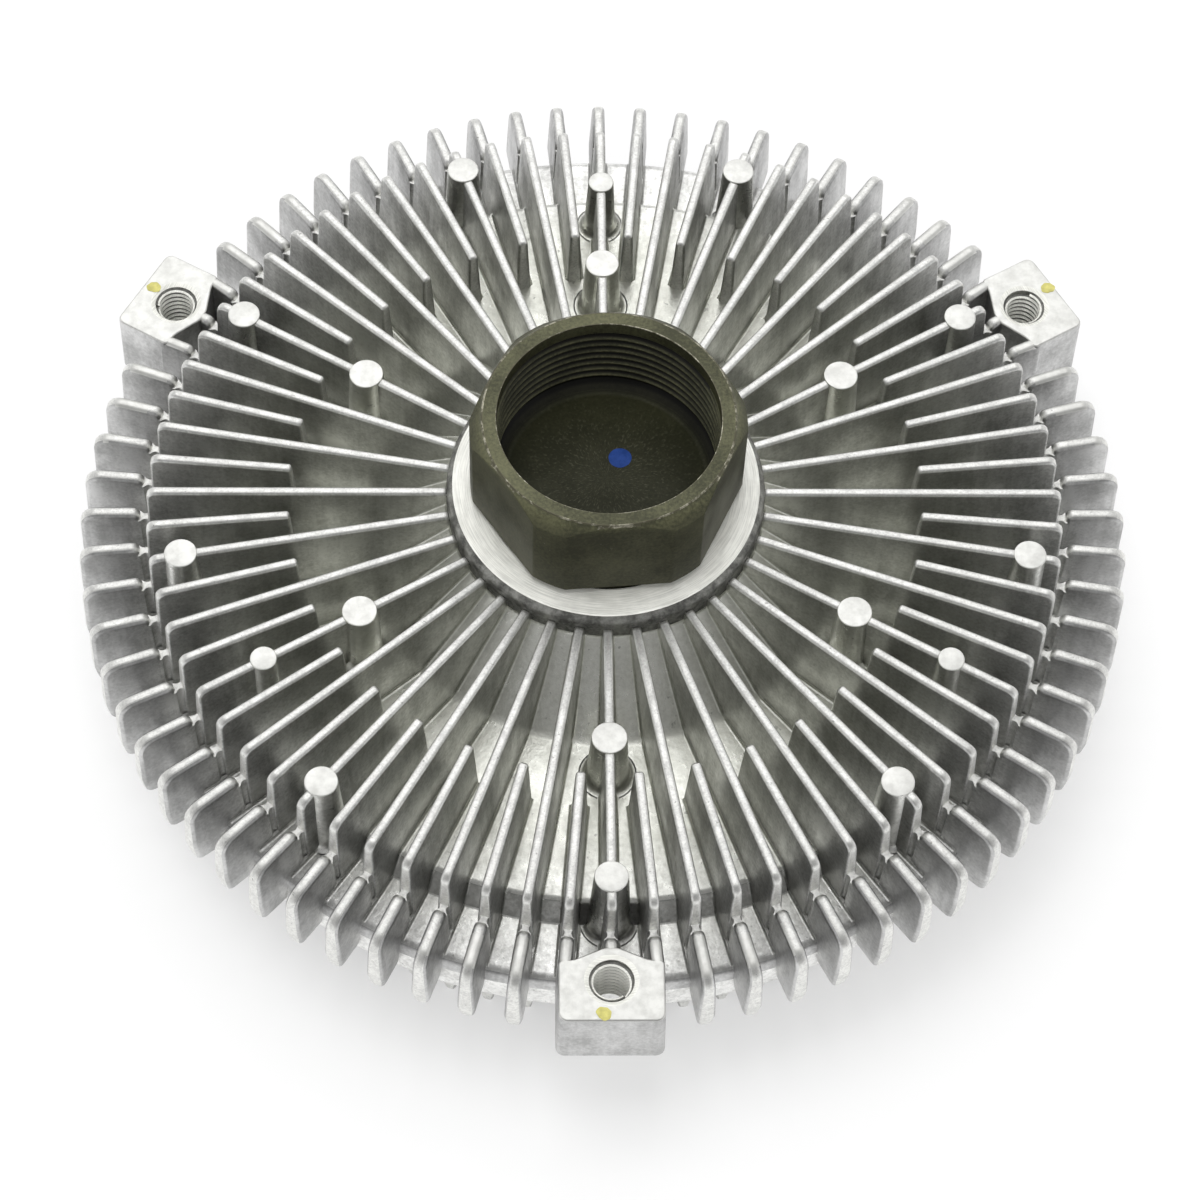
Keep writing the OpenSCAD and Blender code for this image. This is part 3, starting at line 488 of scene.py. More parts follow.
def cast_skin():
    """Blasted die-cast aluminium: finely grained, a little patchy, warmer inside the rim."""
    g = Graph("cast_skin")
    grain = g.noise(1300, 4, 0.7)
    patches = g.noise(190, 4, 0.6)
    shade = g.math("ADD", g.math("MULTIPLY", grain, 0.55), g.math("MULTIPLY", patches, 0.45))
    silver = g.mix(g.span(shade, 0.4, 0.58), (0.66, 0.66, 0.64, 1), (0.97, 0.97, 0.95, 1))
    warm = g.mix(g.span(g.radius(), 0.05, 0.069, 0.55, 0.0), silver, (0.86, 0.87, 0.77, 1))
    pits = g.span(g.noise(900, 3, 0.6), 0.66, 0.72, 0.0, 0.55)
    pitted = g.mix(pits, warm, (0.3, 0.3, 0.28, 1))
    g.bump(g.math("ADD", grain, g.math("MULTIPLY", patches, 0.6)), 0.45, 0.00012)
    return g.set(Metallic=1.0, Base_Color=pitted, Roughness=g.span(shade, 0.35, 0.65, 0.38, 0.25))


def drawn_side():
    """The fins' sides: burnished where they slid out of the die, and stained; painted shade at the inner fins'
    feet and on the sides out past the notch.
    """
    g = Graph("drawn_side")
    streaks = g.noise(650, 3, 0.6, stretch=(1, 1, 0.1))
    stains = g.noise(120, 3, 0.6)
    grain = g.noise(1800, 3, 0.65)
    shade = g.math("ADD", g.math("MULTIPLY", streaks, 0.2), g.math("MULTIPLY", stains, 0.5))
    shade = g.math("ADD", shade, g.math("MULTIPLY", grain, 0.3))
    grey = g.mix(g.span(shade, 0.4, 0.6), (0.46, 0.46, 0.45, 1), (0.97, 0.97, 0.96, 1))
    warm = g.mix(g.span(g.radius(), 0.05, 0.069, 0.35, 0.0), grey, (0.7, 0.71, 0.62, 1))
    height = g.node("ShaderNodeSeparateXYZ", Vector=g.place).outputs["Z"]
    inner = g.span(g.radius(), 0.066, 0.067, 1.0, 0.0)
    # Painted shade: the inner fins' sides darken in patches towards their feet.
    feet = g.math("MULTIPLY", g.span(height, -0.0052, -0.0015, 0.6, 0.0), inner)
    foot_shaded = g.mix(g.math("MULTIPLY", feet, g.span(stains, 0.3, 0.6)), warm, (0.16, 0.16, 0.14, 1))
    # Painted shade: the side faces out past the notch are darkened by half towards a mid grey.
    dulling_and_shade = g.mix(g.span(g.radius(), 0.067, 0.07, 0.0, 0.5), foot_shaded, (0.4, 0.4, 0.4, 1))
    g.bump(g.math("ADD", grain, streaks), 0.2, 0.0001)
    return g.set(Metallic=1.0, Base_Color=dulling_and_shade, Roughness=g.span(shade, 0.35, 0.65, 0.5, 0.34))


def milled_face():
    """Bright milled aluminium with faint tool marks, a little pitted."""
    g = Graph("milled_face")
    marks = g.noise(5200, 1, 0.5, stretch=(1, 0.05, 1))
    pits = g.noise(600, 4, 0.65)
    bright = g.mix(g.span(pits, 0.34, 0.6), (0.71, 0.71, 0.68, 1), (0.82, 0.82, 0.79, 1))
    g.bump(g.math("ADD", marks, pits), 0.2, 0.00005)
    return g.set(Metallic=1.0, Base_Color=bright, Roughness=g.span(pits, 0.3, 0.7, 0.48, 0.4))


def turned_face():
    """Faces that were turned, countersunk or tapped: fine bright tool marks, which scatter the light, and
    painted shade round the hub's foot.
    """
    g = Graph("turned_face")
    rings = g.rays(5.0, 8000.0)
    haze = g.noise(260, 4, 0.65)
    tone = g.math("ADD", g.math("MULTIPLY", rings, 0.65), g.math("MULTIPLY", haze, 0.35))
    bright = g.mix(g.span(tone, 0.4, 0.6), (0.7, 0.7, 0.65, 1), (0.95, 0.95, 0.89, 1))
    # Painted shade on the boss face round the hub's foot, fading out by 20 mm from the axis.
    shaded_round_hub = g.mix(g.span(g.radius(), 0.0185, 0.0202, 0.25, 0.0), bright, (0.3, 0.3, 0.25, 1))
    g.bump(rings, 0.5, 0.00004)
    return g.set(Metallic=0.12, Base_Color=shaded_round_hub, Roughness=g.span(haze, 0.3, 0.7, 0.36, 0.5))


def crest_skin():
    """The fins' narrow tops and ends: coarser skin, speckled and pitted."""
    g = Graph("crest_skin")
    speckle = g.noise(2800, 3, 0.65)
    blotches = g.noise(600, 3, 0.6)
    shade = g.math("ADD", g.math("MULTIPLY", speckle, 0.6), g.math("MULTIPLY", blotches, 0.4))
    grey = g.mix(g.span(shade, 0.4, 0.6), (0.7, 0.7, 0.68, 1), (0.9, 0.9, 0.87, 1))
    pits = g.span(g.noise(1300, 2, 0.6), 0.69, 0.75, 0.0, 0.5)
    g.bump(shade, 0.25, 0.0001)
    return g.set(Metallic=1.0, Base_Color=g.mix(pits, grey, (0.16, 0.16, 0.15, 1)),
                 Roughness=g.span(shade, 0.35, 0.65, 0.52, 0.38))


def shade_painted_wall():
    """The boss's side and bore, and the tapped holes' bores and grooves: painted shade, dark with brighter
    patches here and there.
    """
    g = Graph("shade_painted_wall")
    blotches = g.noise(420, 4, 0.65)
    grain = g.noise(1500, 3, 0.7)
    tone = g.math("ADD", g.math("MULTIPLY", blotches, 0.7), g.math("MULTIPLY", grain, 0.3))
    # Painted shade: the dark base colour.
    stained = g.mix(g.span(tone, 0.4, 0.66), (0.15, 0.15, 0.14, 1), (0.45, 0.45, 0.42, 1))
    g.bump(tone, 0.5, 0.00012)
    return g.set(Metallic=0.9, Base_Color=stained, Roughness=g.span(tone, 0.4, 0.65, 0.6, 0.4))


def trimmed_edge():
    """Matte bright metal where the flash between the die halves was broken off."""
    g = Graph("trimmed_edge")
    torn = g.noise(1200, 3, 0.6)
    bright = g.mix(g.span(torn, 0.35, 0.6), (0.6, 0.6, 0.58, 1), (0.9, 0.9, 0.87, 1))
    g.bump(torn, 0.4, 0.0001)
    return g.set(Metallic=0.3, Base_Color=bright, Roughness=g.span(torn, 0.3, 0.7, 0.55, 0.7))


ear_angles = [ear_angle + k * tau / ear_count for k in range(ear_count)]
ear_ways = [Vector((cos(a), sin(a))) for a in ear_angles]
for face in casting.faces:
    middle = face.calc_center_median()
    radius = middle.xy.length
    if face.normal.z > 0.9 and middle.z > 5.9 and radius > 25:
        face.material_index = milled_finish
    elif face.material_index == turned_finish:
        continue
    elif radius > 69.0 and -0.3 < middle.z < 0.01 and face.normal.z > 0.6:
        if min(abs(way.dot(middle.xy) - hole_r) for way in ear_ways) < 6.5:
            face.material_index = milled_finish
    elif radius < boss_face_r + 0.1 and middle.z > 7.5:
        face.material_index = turned_finish
    # Painted shade: the boss's side and the bore inside it take the dark wall finish.
    elif radius < boss_r + 0.05 and middle.z > 3.2:
        face.material_index = wall_finish
    elif face.normal.z < 0.75 and (
            60.0 < radius < step_out_r and ledge_z < middle.z < floor_z
            or rim_r - 0.6 < radius < rim_r + 0.2 and parting_z < middle.z < ledge_z):
        face.material_index = side_finish
rear_casting = piece(casting, "rear_casting", "housing", "rear_housing",
                     [cast_skin(), milled_face(), turned_face(), drawn_side(), crest_skin(), shade_painted_wall(),
                      trimmed_edge()])

# Ball bearing
# A sealed single-row bearing of ground steel, pressed in the boss and kept there by a sprung ring. Only
# its seals could ever be seen, through the gap round the hub's neck.


def ground_steel():
    """Ground and polished bearing steel with fine marks round the axis."""
    g = Graph("ground_steel")
    lines = g.noise(3000, 2, 0.5, stretch=(0.1, 0.1, 1))
    haze = g.noise(300, 3)
    colour = g.mix(haze, (0.52, 0.53, 0.55, 1), (0.68, 0.69, 0.7, 1))
    g.bump(lines, 0.1, 0.00002)
    return g.set(Metallic=1.0, Base_Color=colour, Roughness=g.span(lines, 0.3, 0.7, 0.14, 0.28))


def seal_rubber():
    """Matte black nitrile rubber with a faint bloom."""
    g = Graph("seal_rubber")
    bloom = g.noise(500, 4)
    colour = g.mix(bloom, (0.012, 0.012, 0.012, 1), (0.035, 0.035, 0.034, 1))
    g.bump(g.noise(2500, 3), 0.2, 0.00004)
    return g.set(Metallic=0.0, Base_Color=colour, Roughness=g.span(bloom, 0.3, 0.7, 0.55, 0.75))


def spring_steel():
    """Blued spring steel, oiled."""
    g = Graph("spring_steel")
    heat = g.noise(250, 3)
    colour = g.mix(heat, (0.05, 0.052, 0.06, 1), (0.13, 0.125, 0.11, 1))
    return g.set(Metallic=1.0, Base_Color=colour, Roughness=g.span(heat, 0.3, 0.7, 0.3, 0.45))


def cage_brass():
    """Machined brass, dulled."""
    g = Graph("cage_brass")
    dulling_and_shade = g.noise(400, 4)
    colour = g.mix(dulling_and_shade, (0.52, 0.38, 0.15, 1), (0.72, 0.56, 0.27, 1))
    g.bump(g.noise(2600, 2), 0.15, 0.00003)
    return g.set(Metallic=1.0, Base_Color=colour, Roughness=g.span(dulling_and_shade, 0.3, 0.7, 0.25, 0.42))


def dress(material, *nodes):
    """Gives solids that keep their own shape a finish."""
    for name in nodes:
        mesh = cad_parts[name].data
        mesh.materials.clear()
        mesh.materials.append(material)


bearing_finish = ground_steel()
rubber_finish = seal_rubber()
dress(bearing_finish, "bearing_outer_race", "bearing_inner_race", "bearing_balls")
dress(cage_brass(), "bearing_cage")
dress(rubber_finish, "bearing_rear_seal", "bearing_front_seal")
dress(spring_steel(), "bearing_circlip")

# Hub
# The driven shaft: a forged steel hexagon, turned and threaded inside for the pump's shaft, dark from its
# phosphate bath. Its far end carries the rotor and is peened over it.
hub_top = 25.0
hub_bottom = 9.0
hex_flat_r = 18.0
hex_turn = radians(4.5)
hub_corner_r = 19.5
hub_face_r = 17.75
hub_bevel = 2.1
hub_crest_r = 15.69
hub_root_r = 16.5
hub_pitch = 1.5
thread_top = 22.8
thread_low = 11.7
socket_floor = 9.2
relief_r = 16.7
hub_edge = 0.16
worn_finish = 1


def solid_object(bm, name):
    mesh = bpy.data.meshes.new(name)
    bm.to_mesh(mesh)
    bm.free()
    obj = bpy.data.objects.new(name, mesh)
    bpy.context.scene.collection.objects.link(obj)
    return obj


def cut(obj, tool, operation):
    """Cuts, joins or intersects one solid with another, and removes the tool."""
    step = obj.modifiers.new("cut", "BOOLEAN")
    step.object = tool
    step.operation = operation
    step.solver = "EXACT"
    bpy.context.view_layer.update()
    evaluated = obj.evaluated_get(bpy.context.evaluated_depsgraph_get())
    mesh = bpy.data.meshes.new_from_object(evaluated)
    obj.modifiers.clear()
    obj.data = mesh
    bpy.data.objects.remove(tool)


hexagon = bmesh.new()
hex_corner_r = hex_flat_r / cos(pi / 6)
bmesh.ops.create_cone(hexagon, cap_ends=True, segments=6, radius1=hex_corner_r, radius2=hex_corner_r,
                      depth=hub_top - hub_bottom)
bmesh.ops.translate(hexagon, vec=(0, 0, (hub_top + hub_bottom) / 2), verts=hexagon.verts)
turn(hexagon, hex_turn + radians(30))
hub_blank = solid_object(hexagon, "hub_blank")
cut(hub_blank, solid_object(turned([
    (0, hub_bottom - 1, 0), (hub_corner_r, hub_bottom - 1, 0), (hub_corner_r, hub_top - hub_bevel, 0),
    (hub_face_r, hub_top, 0), (0, hub_top, 0)], 192), "corner_lathe"), "INTERSECT")
cut(hub_blank, solid_object(turned([
    (0, socket_floor, 0), (14.4, socket_floor, 0.3), (relief_r, socket_floor + 1.3, 0.3),
    (relief_r, thread_low, 0), (hub_root_r, thread_low, 0), (hub_root_r, thread_top - 0.5, 0),
    (hub_crest_r, thread_top, 0), (hub_crest_r, hub_top + 1, 0), (0, hub_top + 1, 0)],
    192), "socket_lathe"), "DIFFERENCE")
hub_mesh = bmesh.new()
hub_mesh.from_mesh(hub_blank.data)
bpy.data.objects.remove(hub_blank)
bmesh.ops.remove_doubles(hub_mesh, verts=hub_mesh.verts, dist=1e-3)
hub_mesh.normal_update()
sharp = [e for e in hub_mesh.edges if len(e.link_faces) == 2 and e.calc_face_angle(0) > radians(20)
         and min(v.co.xy.length for v in e.verts) > hub_crest_r - 0.3]
bmesh.ops.bevel(hub_mesh, geom=sharp, offset=hub_edge, segments=2, profile=0.5, affect="EDGES", material=-1)
for face in hub_mesh.faces:
    if 0.2 < face.normal.z < 0.98 and face.calc_center_median().z > hub_top - 0.3 and face.calc_area() < 0.3:
        face.material_index = worn_finish
add(hub_mesh, helix(hub_root_r, hub_crest_r, hub_pitch, thread_low + 0.2, thread_top - 0.3, 96))
neck_r = 17.1
neck_top = hub_bottom + 0.1
spacer_r = 11.9
journal_r = 8.5
rotor_bore_r = 7.5
peen_r = 8.8
peen_top = -15.75
shaft_end = -17.05
add(hub_mesh, turned([
    (0, neck_top, 0), (neck_r, neck_top, 0), (neck_r, 4.1, 0.3), (spacer_r, 3.3, 0), (spacer_r, bearing_top, 0),
    (journal_r, bearing_top, 0), (journal_r, bearing_bottom, 0), (rotor_bore_r, bearing_bottom, 0),
    (rotor_bore_r, peen_top, 0), (peen_r, peen_top, 0.2), (peen_r, -16.4, 0.3), (8.1, shaft_end, 0),
    (0, shaft_end, 0)], 96))


def phosphate():
    """Manganese phosphate on steel: olive black with pale specks, and painted shade in the thread's grooves, on
    the socket's floor and undercut, and on the flats.
    """
    g = Graph("phosphate")
    crystals = g.noise(2200, 3, 0.6)
    patches = g.noise(110, 2)
    specks = g.span(g.noise(700, 4, 0.7), 0.68, 0.74)
    tone = g.math("ADD", g.math("MULTIPLY", crystals, 0.5), g.math("MULTIPLY", patches, 0.5))
    olive = g.mix(g.span(tone, 0.4, 0.62), (0.048, 0.049, 0.027, 1), (0.118, 0.118, 0.063, 1))
    flecked = g.mix(g.math("MULTIPLY", specks, 0.6), olive, (0.36, 0.35, 0.27, 1))
    height = g.node("ShaderNodeSeparateXYZ", Vector=g.place).outputs["Z"]
    threaded = g.span(height, 0.0228, 0.0232, 1.0, 0.0)
    hollows = g.math("MULTIPLY", threaded, g.span(g.radius(), 0.0157, 0.0161, 0.0, 1.0))
    inside = g.span(g.radius(), 0.0168, 0.0169, 1.0, 0.0)
    flats = g.span(inside, 0.0, 1.0, 1.0, 0.0)
    # Painted shade: the thread's grooves are near black.
    shaded = g.mix(g.math("MULTIPLY", hollows, inside), flecked, (0.006, 0.006, 0.004, 1))
    # Painted shade: the socket's floor is darker.
    floor_shade = g.math("MULTIPLY", inside, g.span(height, 0.0095, 0.0096, 0.85, 0.0))
    oiled = g.mix(floor_shade, shaded, (0.014, 0.0148, 0.008, 1))
    # Painted shade: the undercut between the floor and the thread is darker still.
    relief = g.math("MULTIPLY", g.span(height, 0.0093, 0.0096), g.span(height, 0.0112, 0.0119, 0.9, 0.0))
    relief_shaded = g.mix(g.math("MULTIPLY", inside, relief), oiled, (0.005, 0.005, 0.004, 1))
    # Painted shade: the hexagon's flats are darker up to the chamfer, fading out across it.
    flats_shade = g.math("MULTIPLY", flats, g.span(height, 0.0234, 0.0246, 0.52, 0.0))
    sides = g.mix(flats_shade, relief_shaded, (0.016, 0.016, 0.011, 1))
    worn = g.span(g.radius(), 0.001, 0.014, 1.0, 0.15)
    floor_share = g.math("MULTIPLY", g.span(height, 0.0093, 0.0095, 0.8, 0.0), worn)
    marks = g.mix(g.math("MULTIPLY", floor_share, g.span(g.rays(26.0, 1800.0), 0.56, 0.7)), sides,
                  (0.08, 0.08, 0.054, 1))
    g.bump(crystals, 0.25, 0.00005)
    dry = g.math("MAXIMUM", g.span(height, 0.0095, 0.012), flats)
    matt = g.math("MULTIPLY", flats, g.span(height, 0.0244, 0.0248, 1.0, 0.0))
    metal = g.math("SUBTRACT", g.span(dry, 0.0, 1.0, 0.0, 0.5), g.math("MULTIPLY", matt, 0.4))
    gloss = g.math("SUBTRACT", g.span(dry, 0.0, 1.0, 0.12, 0.5), g.math("MULTIPLY", matt, 0.3))
    rough = g.math("ADD", g.span(patches, 0.35, 0.65, 0.46, 0.34), g.math("MULTIPLY", matt, 0.1))
    return g.set(Metallic=metal, Base_Color=marks, Specular_IOR_Level=gloss, Roughness=rough)


def worn_edge():
    """The hub's edges, rubbed and nicked through to bright steel in places."""
    g = Graph("worn_edge")
    nicks = g.span(g.noise(700, 4, 0.7), 0.5, 0.66)
    steel = g.mix(nicks, (0.12, 0.115, 0.078, 1), (0.5, 0.48, 0.38, 1))
    g.bump(g.noise(1500, 2), 0.3, 0.00006)
    return g.set(Metallic=0.85, Base_Color=steel, Roughness=g.span(nicks, 0.0, 1.0, 0.45, 0.28))


piece(hub_mesh, "threaded_hub", "drive", "hub", [phosphate(), worn_edge()])

# Inspection marks
# Thin dabs of marking paint, put on by hand once the clutch has passed its tests: a blue one in the hub's
# socket and a yellow one on each ear.


blue = (0.006, 0.045, 0.235, 1)
yellow = (0.68, 0.63, 0.2, 1)
paint_t = 0.03
paint_gap = 0.01


def dab(name, body, colour, place, size, z, ragged, seed):
    """A thin uneven spot of paint, at a radius and an angle in degrees."""
    bm = bmesh.new()
    rim = bmesh.ops.create_circle(bm, cap_ends=True, segments=40, radius=size)["verts"]
    for v in rim:
        swing = Vector(v.co.xy).angle_signed(Vector((1, 0)), 0.0)
        v.co *= 1 + ragged * (sin(2 * swing + seed) + 0.6 * sin(3 * swing + 2 * seed) + 0.4 * sin(7 * swing))
    bmesh.ops.inset_region(bm, faces=bm.faces[:], thickness=0.25 * size, depth=paint_t)
    reach, angle = place[0], radians(place[1])
    bmesh.ops.translate(bm, vec=(reach * cos(angle), reach * sin(angle), z + paint_gap), verts=bm.verts)
    g = Graph(name + "_paint")
    thin = g.noise(900, 4)
    paint = g.mix(g.span(thin, 0.35, 0.65), colour, tuple(0.7 * c for c in colour[:3]) + (1,))
    finish = g.set(Base_Color=paint, Roughness=g.span(thin, 0.3, 0.7, 0.5, 0.7))
    piece(bm, name, body, None, [finish])


dab("blue_dab", "drive", blue, (3.97, 59.6), 1.65, socket_floor, 0.012, 0.4)
for number, place in enumerate(((79.0, 30.7), (78.4, 149.5), (78.9, 269.2)), 1):
    dab(f"yellow_dab_{number}", "housing", yellow, place, 1.0, 0.0, 0.09, number)

# Rotor
# The ridged disc that the hub drives between the lands of both castings. It is turned from aluminium,
# and the shaft's end is peened over it.


def turned_aluminium():
    """Freshly turned aluminium, with rings about the axis."""
    g = Graph("turned_aluminium")
    rings = g.rings(7000.0)
    colour = g.mix(rings, (0.68, 0.68, 0.68, 1), (0.84, 0.84, 0.84, 1))
    g.bump(rings, 0.25, 0.00003)
    return g.set(Metallic=1.0, Base_Color=colour, Roughness=g.span(rings, 0.3, 0.7, 0.22, 0.34))


dress(turned_aluminium(), "rotor")

# Front cover with its valve
# The other casting closes the chamber, held by the rolled lip over a rubber ring. It carries the plate
# with the ports, and the shaft and arm that open them.


def zinc_plate():
    """Bright zinc on pressed steel, faintly spangled."""
    g = Graph("zinc_plate")
    spangle = g.noise(500, 3)
    colour = g.mix(spangle, (0.55, 0.56, 0.57, 1), (0.72, 0.73, 0.73, 1))
    g.bump(g.noise(1800, 3), 0.12, 0.00003)
    return g.set(Metallic=1.0, Base_Color=colour, Roughness=g.span(spangle, 0.3, 0.7, 0.26, 0.42))


dress(rubber_finish, "cover_seal", "valve_shaft_seal")
dress(zinc_plate(), "partition_plate", "valve_arm", "fill_plug", "coil_bracket", "bracket_screws")
dress(bearing_finish, "valve_shaft")
cover_floor = -23.45
cover_tip = -32.45
nose_face = -27.85
bracket_angle = radians(45)
nose_r = 23.0
guide_r = 2.55
guide_top = -21.45
guide_out_r = 6.0
cover_r = 67.95
cover_end_r = 65.5
shoulder = (64.9, -15.7)
cover_foot_r = 27.4
cover_floor_r = 60.9
cover_outside = [
    (guide_r, nose_face, 0.15), (nose_r, nose_face, 0.8), (cover_foot_r, cover_floor, 1.5),
    (cover_floor_r, cover_floor, 1.2), (*shoulder, 0.3), (cover_end_r, lip_z, 0), (cover_r, lip_z, 0),
    (cover_r, seam_z, 0),
]
groove_floor = -13.6
seal_groove = [(65.0, seam_z, 0), (65.0, groove_floor, 0), (62.4, groove_floor, 0), (62.4, seam_z, 0)]
cover_face = -19.85
cover_land_tip = -16.25
cover_lands = [(chamber_r, seam_z, 0), (chamber_r, cover_face, 0)]
for out_r in land_radii:
    cover_lands += [(out_r, cover_face, 0), (out_r, cover_land_tip, 0), (out_r - land_w, cover_land_tip, 0),
                    (out_r - land_w, cover_face, 0)]
stake_r = 35.5
stake_z = -17.75
plate_seat_r = 33.6
plate_seat_z = -18.95
well_r = 30.9
well_z = -20.65
well_floor = -24.45
reservoir = [
    (stake_r, cover_face, 0), (stake_r, stake_z, 0), (plate_seat_r, stake_z, 0),
    (plate_seat_r, plate_seat_z, 0), (well_r, plate_seat_z, 0), (well_r, well_z, 0), (25.8, well_z, 0),
    (21.4, well_floor, 0), (guide_out_r, well_floor, 0), (guide_out_r, guide_top, 0), (guide_r, guide_top, 0),
]
cover_blank = solid_object(turned(cover_outside + seal_groove + cover_lands + reservoir), "cover_blank")
screw_r = 18.2
screw_side = 2.8
screw_hole_d = 3.02
screw_hole_top = -25.15
for drill_d, x, y, angle, top in (
    (4.0, 17.5, 0.0, radians(200), -23.0),
    (screw_hole_d, screw_r, screw_side, bracket_angle, screw_hole_top),
    (screw_hole_d, screw_r, -screw_side, bracket_angle, screw_hole_top),
):
    drill = bmesh.new()
    bmesh.ops.create_cone(drill, cap_ends=True, segments=40, radius1=drill_d / 2, radius2=drill_d / 2,
                          depth=top - nose_face + 1)
    bmesh.ops.translate(drill, vec=(x, y, (top + nose_face - 1) / 2), verts=drill.verts)
    turn(drill, angle)
    cut(cover_blank, solid_object(drill, "drill"), "DIFFERENCE")
cover = bmesh.new()
cover.from_mesh(cover_blank.data)
bpy.data.objects.remove(cover_blank)


def cover_half(z):
    """Half the thickness of a cover fin at a height: thinnest at its tip."""
    return fin_half + fin_draft * (z - cover_tip)


cover_root = -21.65
cover_fin_top = -16.6
for start_r, root_z, first in ((26.5, well_floor, 0), (43.0, cover_root, pi / fin_pairs)):
    row = fin([(start_r, root_z, 0), (start_r, cover_tip, 2.0), (cover_end_r, cover_tip, 2.0),
               (cover_end_r, cover_fin_top, 0), (64.5, cover_fin_top, 0), (59.9, cover_root, 0),
               (start_r + 4, cover_root, 0)], cover_half, lambda r, z: z < -17.0, inner_edge)
    foot = root_fillet([(max(start_r, cover_foot_r), -cover_floor), (cover_floor_r, -cover_floor),
                        (shoulder[0], -shoulder[1])], lambda z: cover_half(-z), fillet_r)
    bmesh.ops.scale(foot, vec=(1, 1, -1), verts=foot.verts)
    bmesh.ops.recalc_face_normals(foot, faces=foot.faces)
    add(row, foot)
    turn(row, first)
    repeat(row, fin_pairs, tau / fin_pairs)
    add(cover, row)
for face in cover.faces:
    middle = face.calc_center_median()
    if face.normal.z < -0.9 and middle.z < nose_face + 0.1 and middle.xy.length < nose_r:
        face.material_index = turned_finish
piece(cover, "finned_cover", "housing", "front_cover", list(rear_casting.data.materials))

# Bimetal coil
# A strip rolled from brass and steel and wound flat. Its inner end sits in the valve shaft's slot and its
# outer end in the bracket, and it turns the shaft as the air behind the radiator warms.
coil_bottom = -31.85
strip_w = 3.6
strip_t = 0.8
strip_edge = 0.15
coil_in_r = 4.0
coil_pitch = 1.9
coil_turns = 4
bend_r = 0.8
steps_per_turn = 48


def bend(centre, start, end):
    """Points of a small bend, from one angle to another in degrees."""
    steps = 6
    angles = [radians(start + (end - start) * k / steps) for k in range(steps + 1)]
    return [(centre[0] + bend_r * cos(a), centre[1] + bend_r * sin(a)) for a in angles]


coil_out_r = coil_in_r + coil_pitch * coil_turns
line = [(-2.5, 0.0), (0.0, 0.0)] + bend((coil_in_r - bend_r, bend_r), -90, 0)
for step in range(12, steps_per_turn * coil_turns - 3):
    swing = tau * step / steps_per_turn
    reach = coil_in_r + coil_pitch * step / steps_per_turn
    line.append((reach * cos(swing), reach * sin(swing)))
line += bend((coil_out_r + bend_r, -bend_r), 180, 90) + [(15.6, 0.0)]
half_t = strip_t / 2
section = [(half_t, strip_edge), (half_t, strip_w - strip_edge), (half_t - strip_edge, strip_w),
           (strip_edge - half_t, strip_w), (-half_t, strip_w - strip_edge), (-half_t, strip_edge),
           (strip_edge - half_t, 0.0), (half_t - strip_edge, 0.0)]
brass_finish, steel_finish = range(2)
coil = bmesh.new()
rings = []
for before, here, after in zip(line[:1] + line, line, line[1:] + line[-1:]):
    way = (Vector(after) - Vector(before)).normalized()
    rings.append([coil.verts.new((here[0] + way.y * out, here[1] - way.x * out, coil_bottom + up))
                  for out, up in section])
for ring, ahead in zip(rings, rings[1:]):
    for k in range(len(section)):
        side = coil.faces.new((ring[k - 1], ring[k], ahead[k], ahead[k - 1]))
        side.material_index = brass_finish if k in (0, 1, 2) else steel_finish
coil.faces.new(rings[0])
coil.faces.new(rings[-1])
bmesh.ops.recalc_face_normals(coil, faces=coil.faces)
turn(coil, bracket_angle)


def rolled_strip(name, dark, light):
    """One side of the rolled strip, with its grain along it."""
    g = Graph(name)
    lines = g.noise(900, 3, 0.5, stretch=(0.3, 0.3, 2))
    g.bump(lines, 0.12, 0.00003)
    return g.set(Metallic=1.0, Base_Color=g.mix(lines, dark, light),
                 Roughness=g.span(lines, 0.3, 0.7, 0.28, 0.4))


strip = piece(coil, "wound_strip", None, "bimetal_coil", [
    rolled_strip("brass_side", (0.42, 0.34, 0.19, 1), (0.66, 0.56, 0.36, 1)),
    rolled_strip("steel_side", (0.4, 0.39, 0.36, 1), (0.6, 0.59, 0.56, 1))])
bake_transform(strip)

lengths = [0.0]
for here, after in zip(line, line[1:]):
    lengths.append(lengths[-1] + (Vector(after) - Vector(here)).length)

# Studio
# White paper under the clutch. A large soft light stands above and behind it, so that level faces shine
# while faces turned to the camera mirror a dark flag; two lamps that the metal doesn't mirror cast the shadow.
floor_size = 3.0
floor_gap = 0.02 * MM
floor_bm = bmesh.new()
bmesh.ops.create_grid(floor_bm, x_segments=1, y_segments=1, size=floor_size)
bmesh.ops.translate(floor_bm, vec=(0, 0, cad_low.z - floor_gap), verts=floor_bm.verts)
floor = solid_object(floor_bm, "floor")


